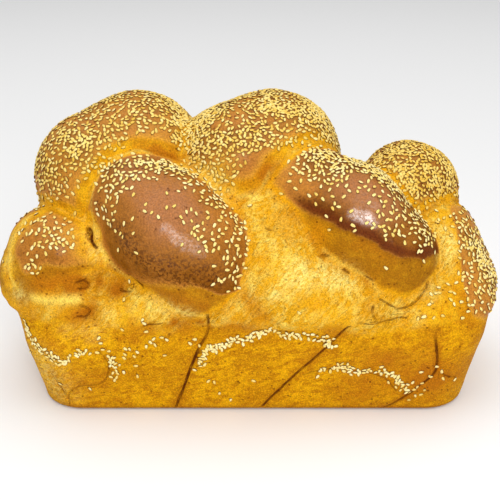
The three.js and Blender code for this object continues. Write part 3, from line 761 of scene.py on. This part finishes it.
def baked_facts(places, normals, torn_in_full=0.2):
    """How each point of the crust baked: facts of 0 to 1, but for the mm beside the seams and the
    number of sesame seeds on each square mm."""
    height, rise = places[:, 2], normals[:, 2]
    owner, gap = nearest_strands(places)
    own = strand_settings(owner, places[:, 0])
    ragged_gap = gap + uneven(places, "crease fray")
    above_rim = ramp(height + uneven(places, "rim waves") + uneven(places, "rim fray"),
                     low=51, high=57)
    wash, above, started, reached = egg_wash(places, own, ragged_gap, above_rim)
    torn = ramp(ragged_gap, own["torn"], torn_in_full * own["torn"]) * above_rim
    dull = own["dull"] * ramp(ragged_gap, low=0.5, high=5) * above_rim
    crease = ramp(gap, low=5, high=0) * above_rim
    side, away, past, depth = seams(places, normals)
    trail = along_lines(places, normals, [(thick, TRAIL_WIDTH, route) for thick, route in SEED_TRAILS])
    pale_and_painted_light = gathered(places, PALE_SPOTS_AND_PAINTED_LIGHT)
    shine = own["gloss"] + gathered(places, GLOSSY)
    shine = wash * shine * ramp(rise, low=-0.1, high=0.3)
    pores = wash * ramp(rise, low=0.5, high=-0.1) + mix(0.35, 0.15, torn) * (1 - wash)
    return {
        "brown": wash * own["tone"] * browning(above),
        "wash": wash,
        "gloss": shine * ramp(above, low=3, high=9),
        # Painted sheen: rosy colour standing in for the washed crowns' reflection of the light above.
        "painted_sheen": np.clip(gathered(places, PAINTED_SHEEN_SPOTS), 0, 1) * ramp(wash, low=0.3, high=0.9),
        "mottle": np.clip(gathered(places, MOTTLES), 0, 1) * ramp(wash, low=0.1, high=0.6),
        # Pale spots, partly painted light; below zero, deeper orange, partly painted shade.
        "pale_and_painted_light": np.clip(pale_and_painted_light, 0, 1),
        "deep": np.clip(-pale_and_painted_light, 0, 1),
        "dull": dull * started * reached,
        "torn": torn * (1 - wash),
        "tin": 1 - above_rim,
        "foot": ramp(height, low=5, high=0),
        # Painted shade, partly browner smears: darker crust in folds, creases, along the seams and on the
        # tin's right side.
        "shade": browner_and_painted_shade(places, crease, away, depth, above_rim),
        "pores": np.clip(pores, 0, 1),
        "drip": wash_drip(above, gap, own) * above_rim * started,
        "lip": along_lines(places, normals, LIPS),
        # Painted shade: how near a crease between strands, where orange and darker patches are laid.
        "crease": crease,
        "seam_side": side / np.sqrt(depth),
        "seam_near": depth * ramp(past, low=1.4, high=0.3) * ramp(away, low=3.4, high=2.2),
        "seed_cover": seeds_wanted(places, normals, own, gap, above_rim, torn, wash, trail),
        "seed_toast": own["toast"] * (1 - ramp(trail, low=0.1, high=0.4)),
    }


def relief(settings, places, facts, groove=1.3, lip_place=3.2, lip_width=1.6, lip_height=0.25):
    """The mm by which the crust stands out from the dough: lumps, swells, wrinkles where it is
    torn, grit and lips, less the seams' grooves with their raised edges, and none at its foot."""
    side = facts["seam_side"]
    seam = bell(side, groove) - lip_height * bell(np.abs(side) - lip_place, lip_width)
    wrinkles = uneven(along_pull(places) / np.array(WRINKLE_STRETCH), "wrinkles")
    height = (
        settings.lump_height / MM * uneven(places, "lumps")
        + gathered(places, SWELLS)
        + settings.wrinkle_height / MM * facts["torn"] * wrinkles
        + uneven(places, "grit")
        + settings.lip_height / MM * facts["lip"]
        - settings.seam_depth / MM * seam * facts["seam_near"]
    )
    return height * ramp(places[:, 2], low=0.5, high=6)


def crust_surface(settings):
    """The crust as points in mm, quads, the foot's ring and facts about each point: the box grid
    pushed onto the dough, evened out, and given its relief along its normals."""
    box, quads, foot = box_grid(settings.spacing / MM)
    places = relaxed(pushed_onto_crust(box), box[:, 2] > RIM_HEIGHT, quads)
    normals = unit(slope_at(places)[1])
    facts = baked_facts(places, normals)
    places += normals * relief(settings, places, facts)[:, None]
    return places, quads, foot, facts


# Materials


def add_node(tree, kind, settings, inputs):
    """A new shader node with its settings, and its inputs as values or as sockets to link."""
    node = tree.nodes.new(kind)
    for name, value in settings.items():
        setattr(node, name, value)
    for key, value in inputs.items():
        if isinstance(value, bpy.types.NodeSocket):
            tree.links.new(value, node.inputs[key])
        else:
            node.inputs[key].default_value = value
    return node


def fact(tree, name):
    """The named fact of the mesh's points, as it was set on the mesh."""
    return add_node(tree, "ShaderNodeAttribute", {"attribute_name": name}, {}).outputs["Fac"]


def object_place(tree):
    """The place on the object, in metres."""
    return add_node(tree, "ShaderNodeTexCoord", {}, {}).outputs["Object"]


def compute(tree, operation, *values):
    """The values put together by one of the Math node's operations."""
    return add_node(tree, "ShaderNodeMath", {"operation": operation}, dict(enumerate(values))).outputs[0]


def times(tree, first, second):
    """The two values multiplied."""
    return compute(tree, "MULTIPLY", first, second)


def stretch(tree, value, low, high, least=0, most=1):
    """The value's span from low to high as a smooth step from least to most."""
    inputs = dict(enumerate((value, low, high, least, most)))
    return add_node(tree, "ShaderNodeMapRange", {"interpolation_type": "SMOOTHSTEP"}, inputs).outputs[0]


def swung(tree, pattern, amount):
    """A noise pattern's swing to both sides of its middle, times the amount."""
    return times(tree, compute(tree, "SUBTRACT", pattern, 0.5), amount)


def noise(tree, vector, scale, detail, roughness, swirl):
    """A noise pattern of 0 to 1 over the places."""
    inputs = {"Vector": vector, "Scale": scale, "Detail": detail, "Roughness": roughness,
              "Distortion": swirl}
    return add_node(tree, "ShaderNodeTexNoise", {}, inputs).outputs["Fac"]


def bumped(tree, bumps):
    """Fine relief, one bump over another: each a pattern, its height in metres and its strength."""
    under = {}
    for height, distance, strength in bumps:
        inputs = {"Height": height, "Distance": distance, "Strength": strength, **under}
        under = {"Normal": add_node(tree, "ShaderNodeBump", {}, inputs).outputs["Normal"]}
    return under["Normal"]


def layered(tree, colour, layers):
    """The colour with layers laid over it, each a share, a colour and, where given, how strong."""
    for share, top, *strength in layers:
        for amount in strength:
            share = times(tree, share, amount)
        colours = [c if isinstance(c, bpy.types.NodeSocket) else (*c, 1) for c in (colour, top)]
        inputs = {0: share, 6: colours[0], 7: colours[1]}
        colour = add_node(tree, "ShaderNodeMix", {"data_type": "RGBA"}, inputs).outputs[2]
    return colour


def lightened(tree, colour, amount):
    """The colour scaled by the amount."""
    inputs = {0: colour, "Scale": amount}
    return add_node(tree, "ShaderNodeVectorMath", {"operation": "SCALE"}, inputs).outputs[0]


def colour_ramp(tree, value, stops):
    """A colour for the value, blended between stops of (place, colour)."""
    node = add_node(tree, "ShaderNodeValToRGB", {}, {0: value})
    elements = node.color_ramp.elements
    while len(elements) < len(stops):
        elements.new(0.5)
    for element, (place, colour) in zip(elements, stops):
        element.position = place
        element.color = (*colour, 1)
    return node.outputs["Color"]


def new_material(name, skin, linked=None):
    """A material with its skin's even values and its linked inputs, made by a function of its
    node tree."""
    material = bpy.data.materials.new(name)
    material.use_nodes = True
    tree = material.node_tree
    shader = tree.nodes["Principled BSDF"]
    for key, value in skin.items():
        shader.inputs[key].default_value = value
    for key, socket in (linked(tree) if linked else {}).items():
        tree.links.new(socket, shader.inputs[key])
    return material


def tin_colour(tree, settings, noises):
    """Crust that baked against the tin: gold, mottled brown in streaks, with a browner foot."""
    return layered(tree, settings.tin_gold, [
        (stretch(tree, noises["streaks"], low=0.42, high=0.62), settings.tin_brown),
        (stretch(tree, noises["broad"], low=0.44, high=0.64, most=0.6), settings.tin_brown),
        (stretch(tree, noises["grain"], low=0.52, high=0.68, most=0.4), settings.tin_pale),
        (fact(tree, "foot"), settings.speck, 0.5),
    ])


def bare_colour(tree, settings, noises):
    """Risen crust without egg wash: gold, orange in patches, and dull brown below some strands."""
    patches = noises["patches"]
    uneven_dull = stretch(tree, patches, low=0.3, high=0.7, least=-0.2, most=0.2)
    return layered(tree, settings.gold, [
        (stretch(tree, patches, low=0.38, high=0.66), settings.orange),
        (compute(tree, "ADD", fact(tree, "dull"), uneven_dull), settings.olive),
    ])


def torn_colour(tree, settings, noises):
    """Dough torn open by the rise: pale fibres and patches over darker ones, and cracks; the folds' pattern
    pales their crests and darkens their hollows, painted light and shade on the folds.
    """
    pale = stretch(tree, noises["fibre"], low=0.36, high=0.64, most=0.45)
    for name, low, high, least, most in (
        ("patches", 0.40, 0.60, -0.20, 0.30),
        # Painted light and shade: the folds' own pattern, which also raises them, pales their crests and
        # darkens their hollows.
        ("folds", 0.40, 0.60, -0.3, 0.3),
        ("broad", 0.42, 0.58, -0.18, 0.22),
    ):
        pale = compute(tree, "ADD", pale, stretch(tree, noises[name], low, high, least, most))
    return layered(tree, settings.torn_shade, [
        (pale, settings.torn_pale),
        (noises["cracks"], settings.torn_crack, 0.55),
    ])


def washed_colour(tree, settings, noises, patchy=0.5):
    """Browned egg wash, from orange where it is thin to dark brown."""
    patches = times(tree, swung(tree, noises["patches"], patchy), fact(tree, "wash"))
    depth = compute(tree, "ADD", fact(tree, "brown"), patches)
    return colour_ramp(tree, depth, [(stop, getattr(settings, name)) for name, stop in WASH_STOPS.items()])


def crust_noises(tree):
    """The patterns of the crust, read from the places on it: soft patches, grain, the fibres of the
    torn dough drawn out along its pull, the cracks between them, and pores."""
    place = object_place(tree)
    spaces = {"place": place}
    for name, (lean, length) in SPACES.items():
        inputs = {"Vector": place, "Rotation": (0, math.radians(lean), 0), "Scale": length}
        turned = add_node(tree, "ShaderNodeMapping", {"vector_type": "TEXTURE"}, inputs)
        spaces[name] = turned.outputs["Vector"]
    noises = {name: noise(tree, spaces[space], *rest) for name, (space, *rest) in PATTERNS.items()}
    from_middle = compute(tree, "ABSOLUTE", compute(tree, "SUBTRACT", noises["ridges"], 0.5))
    noises["cracks"] = times(tree, stretch(tree, from_middle, low=0.035, high=0.008),
                             stretch(tree, noises["patches"], low=0.52, high=0.62))
    cells = add_node(tree, "ShaderNodeTexVoronoi", {}, {"Vector": place, "Scale": PORE_SCALE})
    noises["pores"] = times(tree, stretch(tree, cells.outputs["Distance"], low=0.24, high=0.144),
                            stretch(tree, noises["patches"], low=0.46, high=0.58))
    return noises


def crust_colour(tree, settings, noises, seam):
    """The crust's colour: bare, tin-baked and torn dough, pale spots with painted light on it, painted shade
    in creases, folds and between crowded seeds with browner smears, the egg wash with its painted sheen and
    its flecks over them, and grain, specks, pores and seams on top."""
    wash, torn = fact(tree, "wash"), fact(tree, "torn")
    # Painted shadow: the crust is darkened where seeds crowd, as if in their shade.
    painted_seed_shadow = stretch(tree, fact(tree, "seed_cover"), low=0.05, high=0.35, most=0.35)
    fibres = stretch(tree, noises["fibre"], low=0.38, high=0.60, least=0.2, most=0.95)
    flecks = stretch(tree, noises["flecks"], low=0.46, high=0.59, least=0.1, most=0.95)
    colour = layered(tree, bare_colour(tree, settings, noises), [
        (fact(tree, "tin"), tin_colour(tree, settings, noises)),
        (torn, torn_colour(tree, settings, noises)),
        # Pale spots, partly painted light, and deeper orange ones, partly painted shade.
        (fact(tree, "pale_and_painted_light"), settings.pale_and_painted_light, fibres),
        (fact(tree, "deep"), settings.orange),
        # Painted shade: orange laid into the creases between strands.
        (fact(tree, "crease"), settings.orange, 0.5),
        # Painted shade in folds, creases and along the seams, and painted shadow between crowded seeds, with
        # browner smears.
        (compute(tree, "MAXIMUM", fact(tree, "shade"), painted_seed_shadow), settings.shade),
        (stretch(tree, wash, low=0, high=0.7), washed_colour(tree, settings, noises)),
        # Painted sheen: the rosy colour over the wash stands in for its reflection of the light above.
        (fact(tree, "painted_sheen"), settings.painted_sheen_colour, 0.8),
        (fact(tree, "mottle"), settings.fleck, flecks),
        (fact(tree, "drip"), settings.drip, 0.9),
        (fact(tree, "lip"), settings.torn_pale),
    ])
    # Painted shadow: the washed crust is darkened further between crowded seeds.
    colour = lightened(tree, colour, compute(tree, "SUBTRACT", 1.0, times(tree, painted_seed_shadow, wash)))
    grain = stretch(tree, noises["grain"], low=0.34, high=0.66, least=0.74, most=1.22)
    specks = stretch(tree, noises["specks"], low=0.46, high=0.34, most=0.7)
    fewer_pores = stretch(tree, torn, low=0, high=1, least=0.65, most=0.3)
    worn = stretch(tree, noises["patches"], low=0.35, high=0.6, least=0.5)
    return layered(tree, lightened(tree, colour, grain), [
        (specks, settings.speck, fact(tree, "pores")),
        (noises["pores"], settings.seam, fewer_pores),
        (seam, settings.seam, worn),
    ])


def crust_normal(tree, noises, seam):
    """The crust's fine relief, from its grain up to its folds, cracks, pores and seams."""
    torn = fact(tree, "torn")
    return bumped(tree, [
        (noises["grain"], 0.0005, 0.5),
        (noises["patches"], 0.0020, 0.5),
        (swung(tree, noises["fibre"], torn), 0.0014, 0.8),
        (swung(tree, noises["folds"], torn), 0.0040, 0.7),
        (times(tree, noises["cracks"], torn), -0.0003, 0.6),
        (swung(tree, noises["flecks"], fact(tree, "gloss")), 0.0008, 0.5),
        (noises["pores"], -0.0005, 0.7),
        (seam, -0.0010, 0.8),
    ])


def crust_material(settings):
    """Baked crust: glossy egg wash on the crowns, matte gold on the tin sides, pale torn folds."""
    def linked(tree):
        """The inputs that change over the crust."""
        noises = crust_noises(tree)
        seam_side = compute(tree, "ABSOLUTE", fact(tree, "seam_side"))
        seam = times(tree, fact(tree, "seam_near"), stretch(tree, seam_side, low=0.95, high=0.25))
        smooth = stretch(tree, fact(tree, "wash"), low=0.2, high=0.9,
                         least=settings.plain_roughness, most=settings.wash_roughness)
        rough_grain = stretch(tree, noises["grain"], low=0.3, high=0.7, least=-0.05, most=0.09)
        coat = stretch(tree, noises["flecks"], low=0.42, high=0.56, least=0.35 * settings.egg_coat,
                       most=1.1 * settings.egg_coat)
        return {
            "Base Color": crust_colour(tree, settings, noises, seam),
            "Roughness": compute(tree, "ADD", smooth, rough_grain),
            "Coat Weight": times(tree, fact(tree, "gloss"), coat),
            "Normal": crust_normal(tree, noises, seam),
        }

    return new_material("baked_crust", CRUST_SKIN, linked)


def seed_material(name, lightest, darkest, browned_rim_and_painted_shadow):
    """Sesame seed skin between two colours from seed to seed, and darker where it meets the crust: partly
    browning, partly painted contact shadow.
    """
    def linked(tree):
        """The inputs that change over a seed."""
        grain = noise(tree, object_place(tree), *SEED_GRAIN)
        # Painted contact shadow, partly browning, on the low side of each seed.
        rim = stretch(tree, fact(tree, "rim"), low=0.15, high=0.6)
        return {
            "Base Color": layered(tree, lightest, [(fact(tree, "shade"), darkest), (rim, browned_rim_and_painted_shadow)]),
            "Normal": bumped(tree, [(grain, 0.0001, 0.5)]),
        }

    return new_material(name, SEED_SKIN, linked)


# Meshes and objects


def fresh_object(name, data):
    """An object of this name at the origin, in place of an older one."""
    old = bpy.data.objects.get(name)
    if old:
        bpy.data.objects.remove(old)
    piece = bpy.data.objects.new(name, data)
    bpy.context.scene.collection.objects.link(piece)
    return piece


def mesh_from(name, points, *groups):
    """A smooth mesh from points in mm and arrays of faces, whose rows are point numbers."""
    mesh = bpy.data.meshes.new(name)
    mesh.from_pydata((points * MM).tolist(), [], [face for group in groups for face in group.tolist()])
    mesh.shade_smooth()
    mesh.validate()
    return mesh


def set_fact(mesh, name, values):
    """Puts one value on each of the mesh's points under the name."""
    mesh.attributes.new(name, "FLOAT", "POINT").data.foreach_set("value", values.astype(np.float32))


def read_rows(items, name, width, kind=np.float32):
    """The named values of a mesh's items as an array, width values in a row."""
    values = np.empty(len(items) * width, kind)
    items.foreach_get(name, values)
    return values.reshape(-1, width)


# Settings


def colour_setting(name, description, *screen):
    """A colour setting from red, green and blue of 0 to 255 as a screen shows them, turned into
    amounts of light by the sRGB formula."""
    parts = np.array(screen) / 255
    linear = np.where(parts <= 0.04045, parts / 12.92, ((parts + 0.055) / 1.055) ** 2.4)
    return FloatVectorProperty(name=name, description=description, default=linear.tolist(),
                               subtype="COLOR")


def length_setting(name, description, metres, **limits):
    """A length setting in metres."""
    return FloatProperty(name=name, description=description, default=metres, unit="LENGTH",
                         precision=5, **limits)


def share_setting(name, description, share):
    """A setting between none and all, 0 to 1."""
    return FloatProperty(name=name, description=description, default=share, min=0, max=1,
                         subtype="FACTOR")


class ChallahCrustSettings(bpy.types.PropertyGroup):
    """Sizes and colours of the crust."""

    spacing: length_setting("Spacing", "Size of the crust's mesh cells", 0.00126, min=0.0011, max=0.01)
    lump_height: length_setting("Lumps", "Height of the dough's soft lumps", 0.0009)
    wrinkle_height: length_setting("Wrinkles", "Height of the torn dough's wrinkles", 0.0008)
    seam_depth: length_setting("Seam depth", "Depth of the seams on the tin sides", 0.0016)
    lip_height: length_setting("Lips", "Height of the pale lips beside the strands", 0.0007)
    wash_roughness: share_setting("Wash roughness", "Roughness under the egg wash", 0.38)
    plain_roughness: share_setting("Plain roughness", "Roughness of crust without egg wash", 0.65)
    egg_coat: share_setting("Egg coat", "Strength of the egg wash's gloss", 1.0)
    gold: colour_setting("Gold", "Crust without egg wash", 236, 178, 26)
    # Orange is also laid into the creases between strands as painted shade.
    orange: colour_setting("Orange", "Crust in the creases and beside the wash", 226, 156, 10)
    olive: colour_setting("Olive", "Dull brown crust below the wash", 166, 109, 12)
    tin_gold: colour_setting("Tin gold", "Crust baked against the tin", 226, 165, 6)
    tin_brown: colour_setting("Tin brown", "Darker crust against the tin", 188, 123, 3)
    tin_pale: colour_setting("Tin pale", "Paler grain against the tin", 238, 186, 32)
    torn_pale: colour_setting("Torn pale", "Torn and stretched dough", 250, 214, 92)
    torn_shade: colour_setting("Torn shade", "Between the torn fibres", 228, 166, 26)
    torn_crack: colour_setting("Torn crack", "Fine cracks in the torn dough", 186, 116, 8)
    # Pale crust, and partly painted light where the crust lies in shade or faces the light.
    pale_and_painted_light: colour_setting("Glow", "Crust stretched thin and left pale", 255, 231, 126)
    fleck: colour_setting("Flecks", "Dark flecks in the egg wash", 94, 50, 6)
    # Painted shade, partly browner smears: laid in folds, hollows, creases, along the seams, between crowded
    # seeds and down the tin's right side.
    shade: colour_setting("Shade", "Browner smears in folds and hollows", 182, 110, 12)
    wash_orange: colour_setting("Wash orange", "Lightly browned egg wash", 212, 150, 50)
    wash_brown: colour_setting("Wash brown", "Browned egg wash", 185, 119, 44)
    wash_dark: colour_setting("Wash dark", "Darkest egg wash", 128, 74, 5)
    # Painted sheen: a rosy colour that stands in for the egg wash's soft reflection of the light above.
    painted_sheen_colour: colour_setting("Rosy wash", "Thick, level egg wash", 172, 111, 66)
    drip: colour_setting("Wash edge", "Where the egg wash ran and dried", 100, 42, 12)
    speck: colour_setting("Specks", "Pores and specks of the crust", 140, 78, 10)
    seam: colour_setting("Seam", "Inside the seams on the tin sides", 92, 40, 6)


class ChallahSeedSettings(bpy.types.PropertyGroup):
    """Sizes, number and colours of the sesame seeds."""

    most: IntProperty(name="Most seeds", description="The most seeds that are laid", default=7200,
                      min=1, max=8000)
    tries: IntProperty(name="Tries", description="Places that are drawn for seeds", default=16000,
                       min=1, max=20000)
    length: length_setting("Length", "A seed's length", 0.00295)
    width: length_setting("Width", "A seed's width", 0.0017)
    thickness: length_setting("Thickness", "A seed's thickness", 0.001)
    spacing: length_setting("Spacing", "Least distance between seeds", 0.0018)
    start: IntProperty(name="Draw", description="Start of the random draw of places", default=7)
    pale: colour_setting("Pale", "The palest seeds", 253, 240, 178)
    cream: colour_setting("Cream", "Seeds between pale and golden", 244, 212, 112)
    toasted: colour_setting("Toasted", "The most toasted seeds", 224, 179, 62)
    # Painted contact shadow, partly browning: the dark rim where a seed meets the crust.
    browned_rim_and_painted_shadow: colour_setting("Browned", "Where a seed meets the crust", 96, 52, 8)


class ChallahStudioSettings(bpy.types.PropertyGroup):
    """The floor, the lights and the camera."""

    distance: length_setting("Distance", "Camera to the loaf's middle", 0.52)
    elevation: FloatProperty(name="Elevation", description="Camera's height above the horizon",
                             default=math.radians(24), unit="ROTATION")
    target: length_setting("Target", "Height that the camera looks at", 0.0734)
    lens: FloatProperty(name="Lens", description="Focal length in mm", default=66.5)
    key: FloatProperty(name="Front light", description="Power of the front light in watts",
                       default=4.0)
    ceiling: FloatProperty(name="Ceiling light", description="Power of the ceiling light in watts",
                           default=30.0)
    room: FloatProperty(name="Room light", description="Strength of the light all round", default=0.42)
    floor: FloatVectorProperty(name="Floor", description="Colour of the floor",
                               default=(0.88, 0.88, 0.88), subtype="COLOR")


# Pieces


class MESH_OT_challah_crust(bpy.types.Operator):
    """Add the loaf's crust in place of its plain solid"""

    bl_idname = "mesh.challah_crust"
    bl_label = "Add crust"

    def execute(self, context):
        settings = context.scene.challah_crust
        places, quads, foot, facts = crust_surface(settings)
        middle = (places.max(0) + places.min(0)) / 2
        places -= (middle[0], middle[1], 0)
        hub = np.full(len(foot), len(places))
        fan = np.stack([hub, np.roll(foot, -1), foot], -1)
        mesh = mesh_from("crust", np.vstack([places, (0, 0, 0)]), quads, fan)
        for name, values in facts.items():
            set_fact(mesh, name, np.append(values, 1.0 if name == "tin" else 0.0))
        mesh.materials.append(crust_material(settings))
        piece = fresh_object("crust", mesh)
        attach(piece, "root")
        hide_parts("challah_loaf")
        return {"FINISHED"}


def seed_form(sides=8, rings=3, taper=0.3, rim_height=0.7):
    """One seed of unit half sizes as points and triangles: rings of an oval that narrows to a
    point, closed by a pole at each end. Returns how low on the seed's side each point lies too."""
    around = np.arange(sides) * 2 * np.pi / sides
    lean = np.linspace(0, np.pi, rings + 2)[1:-1, None]
    along = np.cos(lean)
    radius = np.sin(lean) * (1 - taper * along)
    ovals = np.broadcast_arrays(along, radius * np.cos(around), radius * np.sin(around))
    points = np.vstack([(1, 0, 0), np.stack(ovals, -1).reshape(-1, 3), (-1, 0, 0)])
    here = np.arange(sides)
    after = (here + 1) % sides
    triangles = [(np.zeros_like(here), 1 + here, 1 + after)]
    for ring in range(rings - 1):
        a, b = 1 + ring * sides + here, 1 + ring * sides + after
        triangles += [(a, a + sides, b + sides), (a, b + sides, b)]
    last = 1 + (rings - 1) * sides
    triangles.append((last + here, np.full_like(here, len(points) - 1), last + after))
    faces = np.stack([np.stack(corners, -1) for corners in triangles], 1).reshape(-1, 3)
    return points, faces, np.clip(1 - points[:, 2] / rim_height, 0, 1)


def spots_on(mesh, draw, count):
    """Random spots on a mesh, as many on each face as its area and its seed cover ask, each with
    its place in mm, normal, cover and toast, and how many seeds the whole cover asks for."""
    mesh.calc_loop_triangles()
    corners = read_rows(mesh.loop_triangles, "vertices", 3, np.int32)
    places, normals = (read_rows(mesh.vertices, name, 3).astype(float) for name in ("co", "normal"))
    places /= MM
    cover, toast = (read_rows(mesh.attributes[name].data, "value", 1)[corners, 0].mean(1)
                    for name in ("seed_cover", "seed_toast"))
    a, b, c = (places[corners[:, k]] for k in range(3))
    wanted = np.cumsum(lengths(np.cross(b - a, c - a)) / 2 * cover)
    face = np.searchsorted(wanted, draw.random(count) * wanted[-1])
    s, t = np.sqrt(draw.random(count)), draw.random(count)
    shares = np.stack([1 - s, s * (1 - t), s * t], -1)
    spots, up = (np.einsum("nk,nkd->nd", shares, rows[corners[face]]) for rows in (places, normals))
    return spots, unit(up), cover[face], toast[face], wanted[-1]


def close_pairs(spots, spacing):
    """The pairs of spots that lie nearer each other than their spacing, as two arrays of numbers
    with the lower one first. Sorted along x, each spot is only held against the next few."""
    order = np.argsort(spots[:, 0])
    first, second = [], []
    for step in range(1, len(order)):
        a, b = order[:-step], order[step:]
        if (spots[b, 0] - spots[a, 0]).min() > spacing.max():
            break
        close = ((spots[a] - spots[b]) ** 2).sum(1) < spacing[a] * spacing[b]
        first.append(np.minimum(a, b)[close])
        second.append(np.maximum(a, b)[close])
    return np.concatenate(first), np.concatenate(second)


def kept_apart(spots, spacing):
    """Which spots stay, first come first served, when none may lie within the spacing of one that
    stays: in rounds, a spot with no earlier open neighbour stays and closes its neighbours."""
    first, second = close_pairs(spots, spacing)
    open_, kept = np.ones(len(spots), bool), np.zeros(len(spots), bool)
    while open_.any():
        held = np.zeros(len(spots), bool)
        held[second[open_[first]]] = True
        chosen = open_ & ~held
        kept |= chosen
        open_ &= ~chosen
        open_[second[chosen[first]]] = False
        open_[first[chosen[second]]] = False
    return kept


def seed_piece(name, slot, material, settings, draw, spots, up, shade, lean=0.14, spread=0.07,
               smallest=0.82, largest=1.18, raised=0.28):
    """One piece of joined sesame seeds, one at each spot, laid flat with a random turn and lean."""
    count = len(spots)
    up = unit(up + draw.normal(0, lean, (count, 3)))
    along = unit(np.cross(up, draw.normal(size=(count, 3))))
    across = np.cross(up, along)
    form, faces, rim = seed_form()
    sizes = np.array([settings.length, settings.width, settings.thickness]) / MM / 2
    scale = draw.normal(1, spread, (count, 1)).clip(smallest, largest)
    axes = np.stack([along, across, up], 1) * (sizes * scale)[:, :, None]
    middle = spots + up * (raised * sizes[2])
    points = np.einsum("pk,nkd->npd", form, axes) + middle[:, None]
    numbers = faces[None] + len(form) * np.arange(count)[:, None, None]
    mesh = mesh_from(name, points.reshape(-1, 3), numbers.reshape(-1, 3))
    set_fact(mesh, "shade", np.repeat(shade, len(form)))
    set_fact(mesh, "rim", np.tile(rim, count))
    mesh.materials.append(material)
    piece = fresh_object(name, mesh)
    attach(piece, "root")


def seed_shades(toast, draw, of_place=0.62, of_draw=0.7, of_all=-0.08, draw_shape=(1.6, 2.0)):
    """How golden each seed is: its place's toast and a random draw, added up."""
    return of_place * toast + of_draw * draw.beta(*draw_shape, len(toast)) + of_all


class MESH_OT_challah_seeds(bpy.types.Operator):
    """Strew sesame seeds over the crust"""

    bl_idname = "mesh.challah_seeds"
    bl_label = "Add sesame seeds"

    def execute(self, context):
        settings = context.scene.challah_seeds
        crust = bpy.data.objects.get("crust")
        if crust is None:
            raise RuntimeError("the sesame seeds need the crust to lie on")
        draw = np.random.default_rng(settings.start)
        spots, up, cover, toast, wanted = spots_on(crust.data, draw, settings.tries)
        closer = ramp(cover, low=0.6, high=0.15).clip(CLOSEST, 1)
        kept = np.flatnonzero(kept_apart(spots, settings.spacing / MM * closer))
        kept = kept[:min(settings.most, int(wanted))]
        spots, up = spots[kept], up[kept]
        shade = seed_shades(toast[kept], draw)
        golden = shade > GOLDEN_FROM
        shade = shade.clip(0, 1)
        cream, toasted = ("sesame_seeds", "sesame"), ("sesame_seeds_toasted", "sesame_toasted")
        for names, own, low, high, skin in (
            (cream, ~golden, 0, GOLDEN_FROM, ("sesame_skin", settings.pale, settings.cream)),
            (toasted, golden, GOLDEN_FROM, 1, ("toasted_skin", settings.cream, settings.toasted)),
        ):
            material = seed_material(*skin, settings.browned_rim_and_painted_shadow)
            own_shade = (shade[own] - low) / (high - low)
            seed_piece(*names, material, settings, draw, spots[own], up[own], own_shade)
        return {"FINISHED"}


# Studio


def add_softbox(name, watts, place, aim, size):
    """A square area light of the given size at place, turned towards aim."""
    light = bpy.data.lights.new(name, "AREA")
    light.energy = watts
    light.shape = "RECTANGLE"
    light.size, light.size_y = size
    lamp = fresh_object(name, light)
    lamp.location = place
    lamp.rotation_euler = (Vector(aim) - Vector(place)).to_track_quat("-Z", "Y").to_euler()


def add_floor(colour):
    """A wide, level, matte floor just below the loaf."""
    corners = np.array([(-1, -1, 1), (1, -1, 1), (1, 1, 1), (-1, 1, 1)])
    points = corners * (FLOOR_HALF_SIZE, FLOOR_HALF_SIZE, FLOOR_HEIGHT)
    mesh = mesh_from("floor", points, np.array([(0, 1, 2, 3)]))
    mesh.materials.append(new_material("pale_floor", {"Base Color": (*colour, 1), **FLOOR_SKIN}))
    fresh_object("floor", mesh)


def add_camera(settings, aim):
    """A camera before the loaf, raised by its elevation and turned down towards the aim."""
    camera = bpy.data.cameras.new("camera")
    camera.sensor_width = FILM_WIDTH
    camera.lens = settings.lens
    viewer = fresh_object("camera", camera)
    back = Vector((0, -math.cos(settings.elevation), math.sin(settings.elevation)))
    viewer.location = Vector(aim) + settings.distance * back
    viewer.rotation_euler = (math.pi / 2 - settings.elevation, 0, 0)
    return viewer


class SCENE_OT_challah_studio(bpy.types.Operator):
    """Add the floor, the lights and the camera"""

    bl_idname = "scene.challah_studio"
    bl_label = "Add studio"

    def execute(self, context):
        settings = context.scene.challah_studio
        aim = (0, 0, settings.target)
        add_floor(settings.floor)
        add_softbox("front_softbox", settings.key, aim=aim, **FRONT_LIGHT)
        add_softbox("ceiling_softbox", settings.ceiling, **CEILING_LIGHT)
        world = bpy.data.worlds.new("pale_room")
        world.use_nodes = True
        background = world.node_tree.nodes["Background"]
        background.inputs["Color"].default_value = (1, 1, 1, 1)
        background.inputs["Strength"].default_value = settings.room
        context.scene.world = world
        context.scene.camera = add_camera(settings, aim)
        context.scene.view_settings.view_transform = "Standard"
        return {"FINISHED"}


class VIEW3D_PT_challah(bpy.types.Panel):
    """The challah's settings and steps"""

    bl_idname = "VIEW3D_PT_challah"
    bl_label = "Challah"
    bl_space_type = "VIEW_3D"
    bl_region_type = "UI"
    bl_category = "Challah"

    def draw(self, context):
        for group, (_, operator) in STEPS.items():
            box = self.layout.box()
            box.operator(operator)
            settings = getattr(context.scene, group)
            for name in settings.__annotations__:
                box.prop(settings, name)


CLASSES = (
    ChallahCrustSettings,
    ChallahSeedSettings,
    ChallahStudioSettings,
    MESH_OT_challah_crust,
    MESH_OT_challah_seeds,
    SCENE_OT_challah_studio,
    VIEW3D_PT_challah,
)
# Each group of settings on the scene, with its class and the step that it is for.
STEPS = {
    "challah_crust": (ChallahCrustSettings, "mesh.challah_crust"),
    "challah_seeds": (ChallahSeedSettings, "mesh.challah_seeds"),
    "challah_studio": (ChallahStudioSettings, "scene.challah_studio"),
}


def register():
    """Makes the settings, the steps and the panel known to Blender."""
    for cls in CLASSES:
        bpy.utils.register_class(cls)
    for group, (settings, _) in STEPS.items():
        setattr(bpy.types.Scene, group, PointerProperty(type=settings))


def unregister():
    """Takes them out again, in the other order."""
    for group in STEPS:
        delattr(bpy.types.Scene, group)
    for cls in reversed(CLASSES):
        bpy.utils.unregister_class(cls)


def main():
    """Builds the pieces and the stage in order."""
    register()
    bpy.ops.mesh.challah_crust()
    bpy.ops.mesh.challah_seeds()
    bpy.ops.scene.challah_studio()


if __name__ == "__main__":
    main()
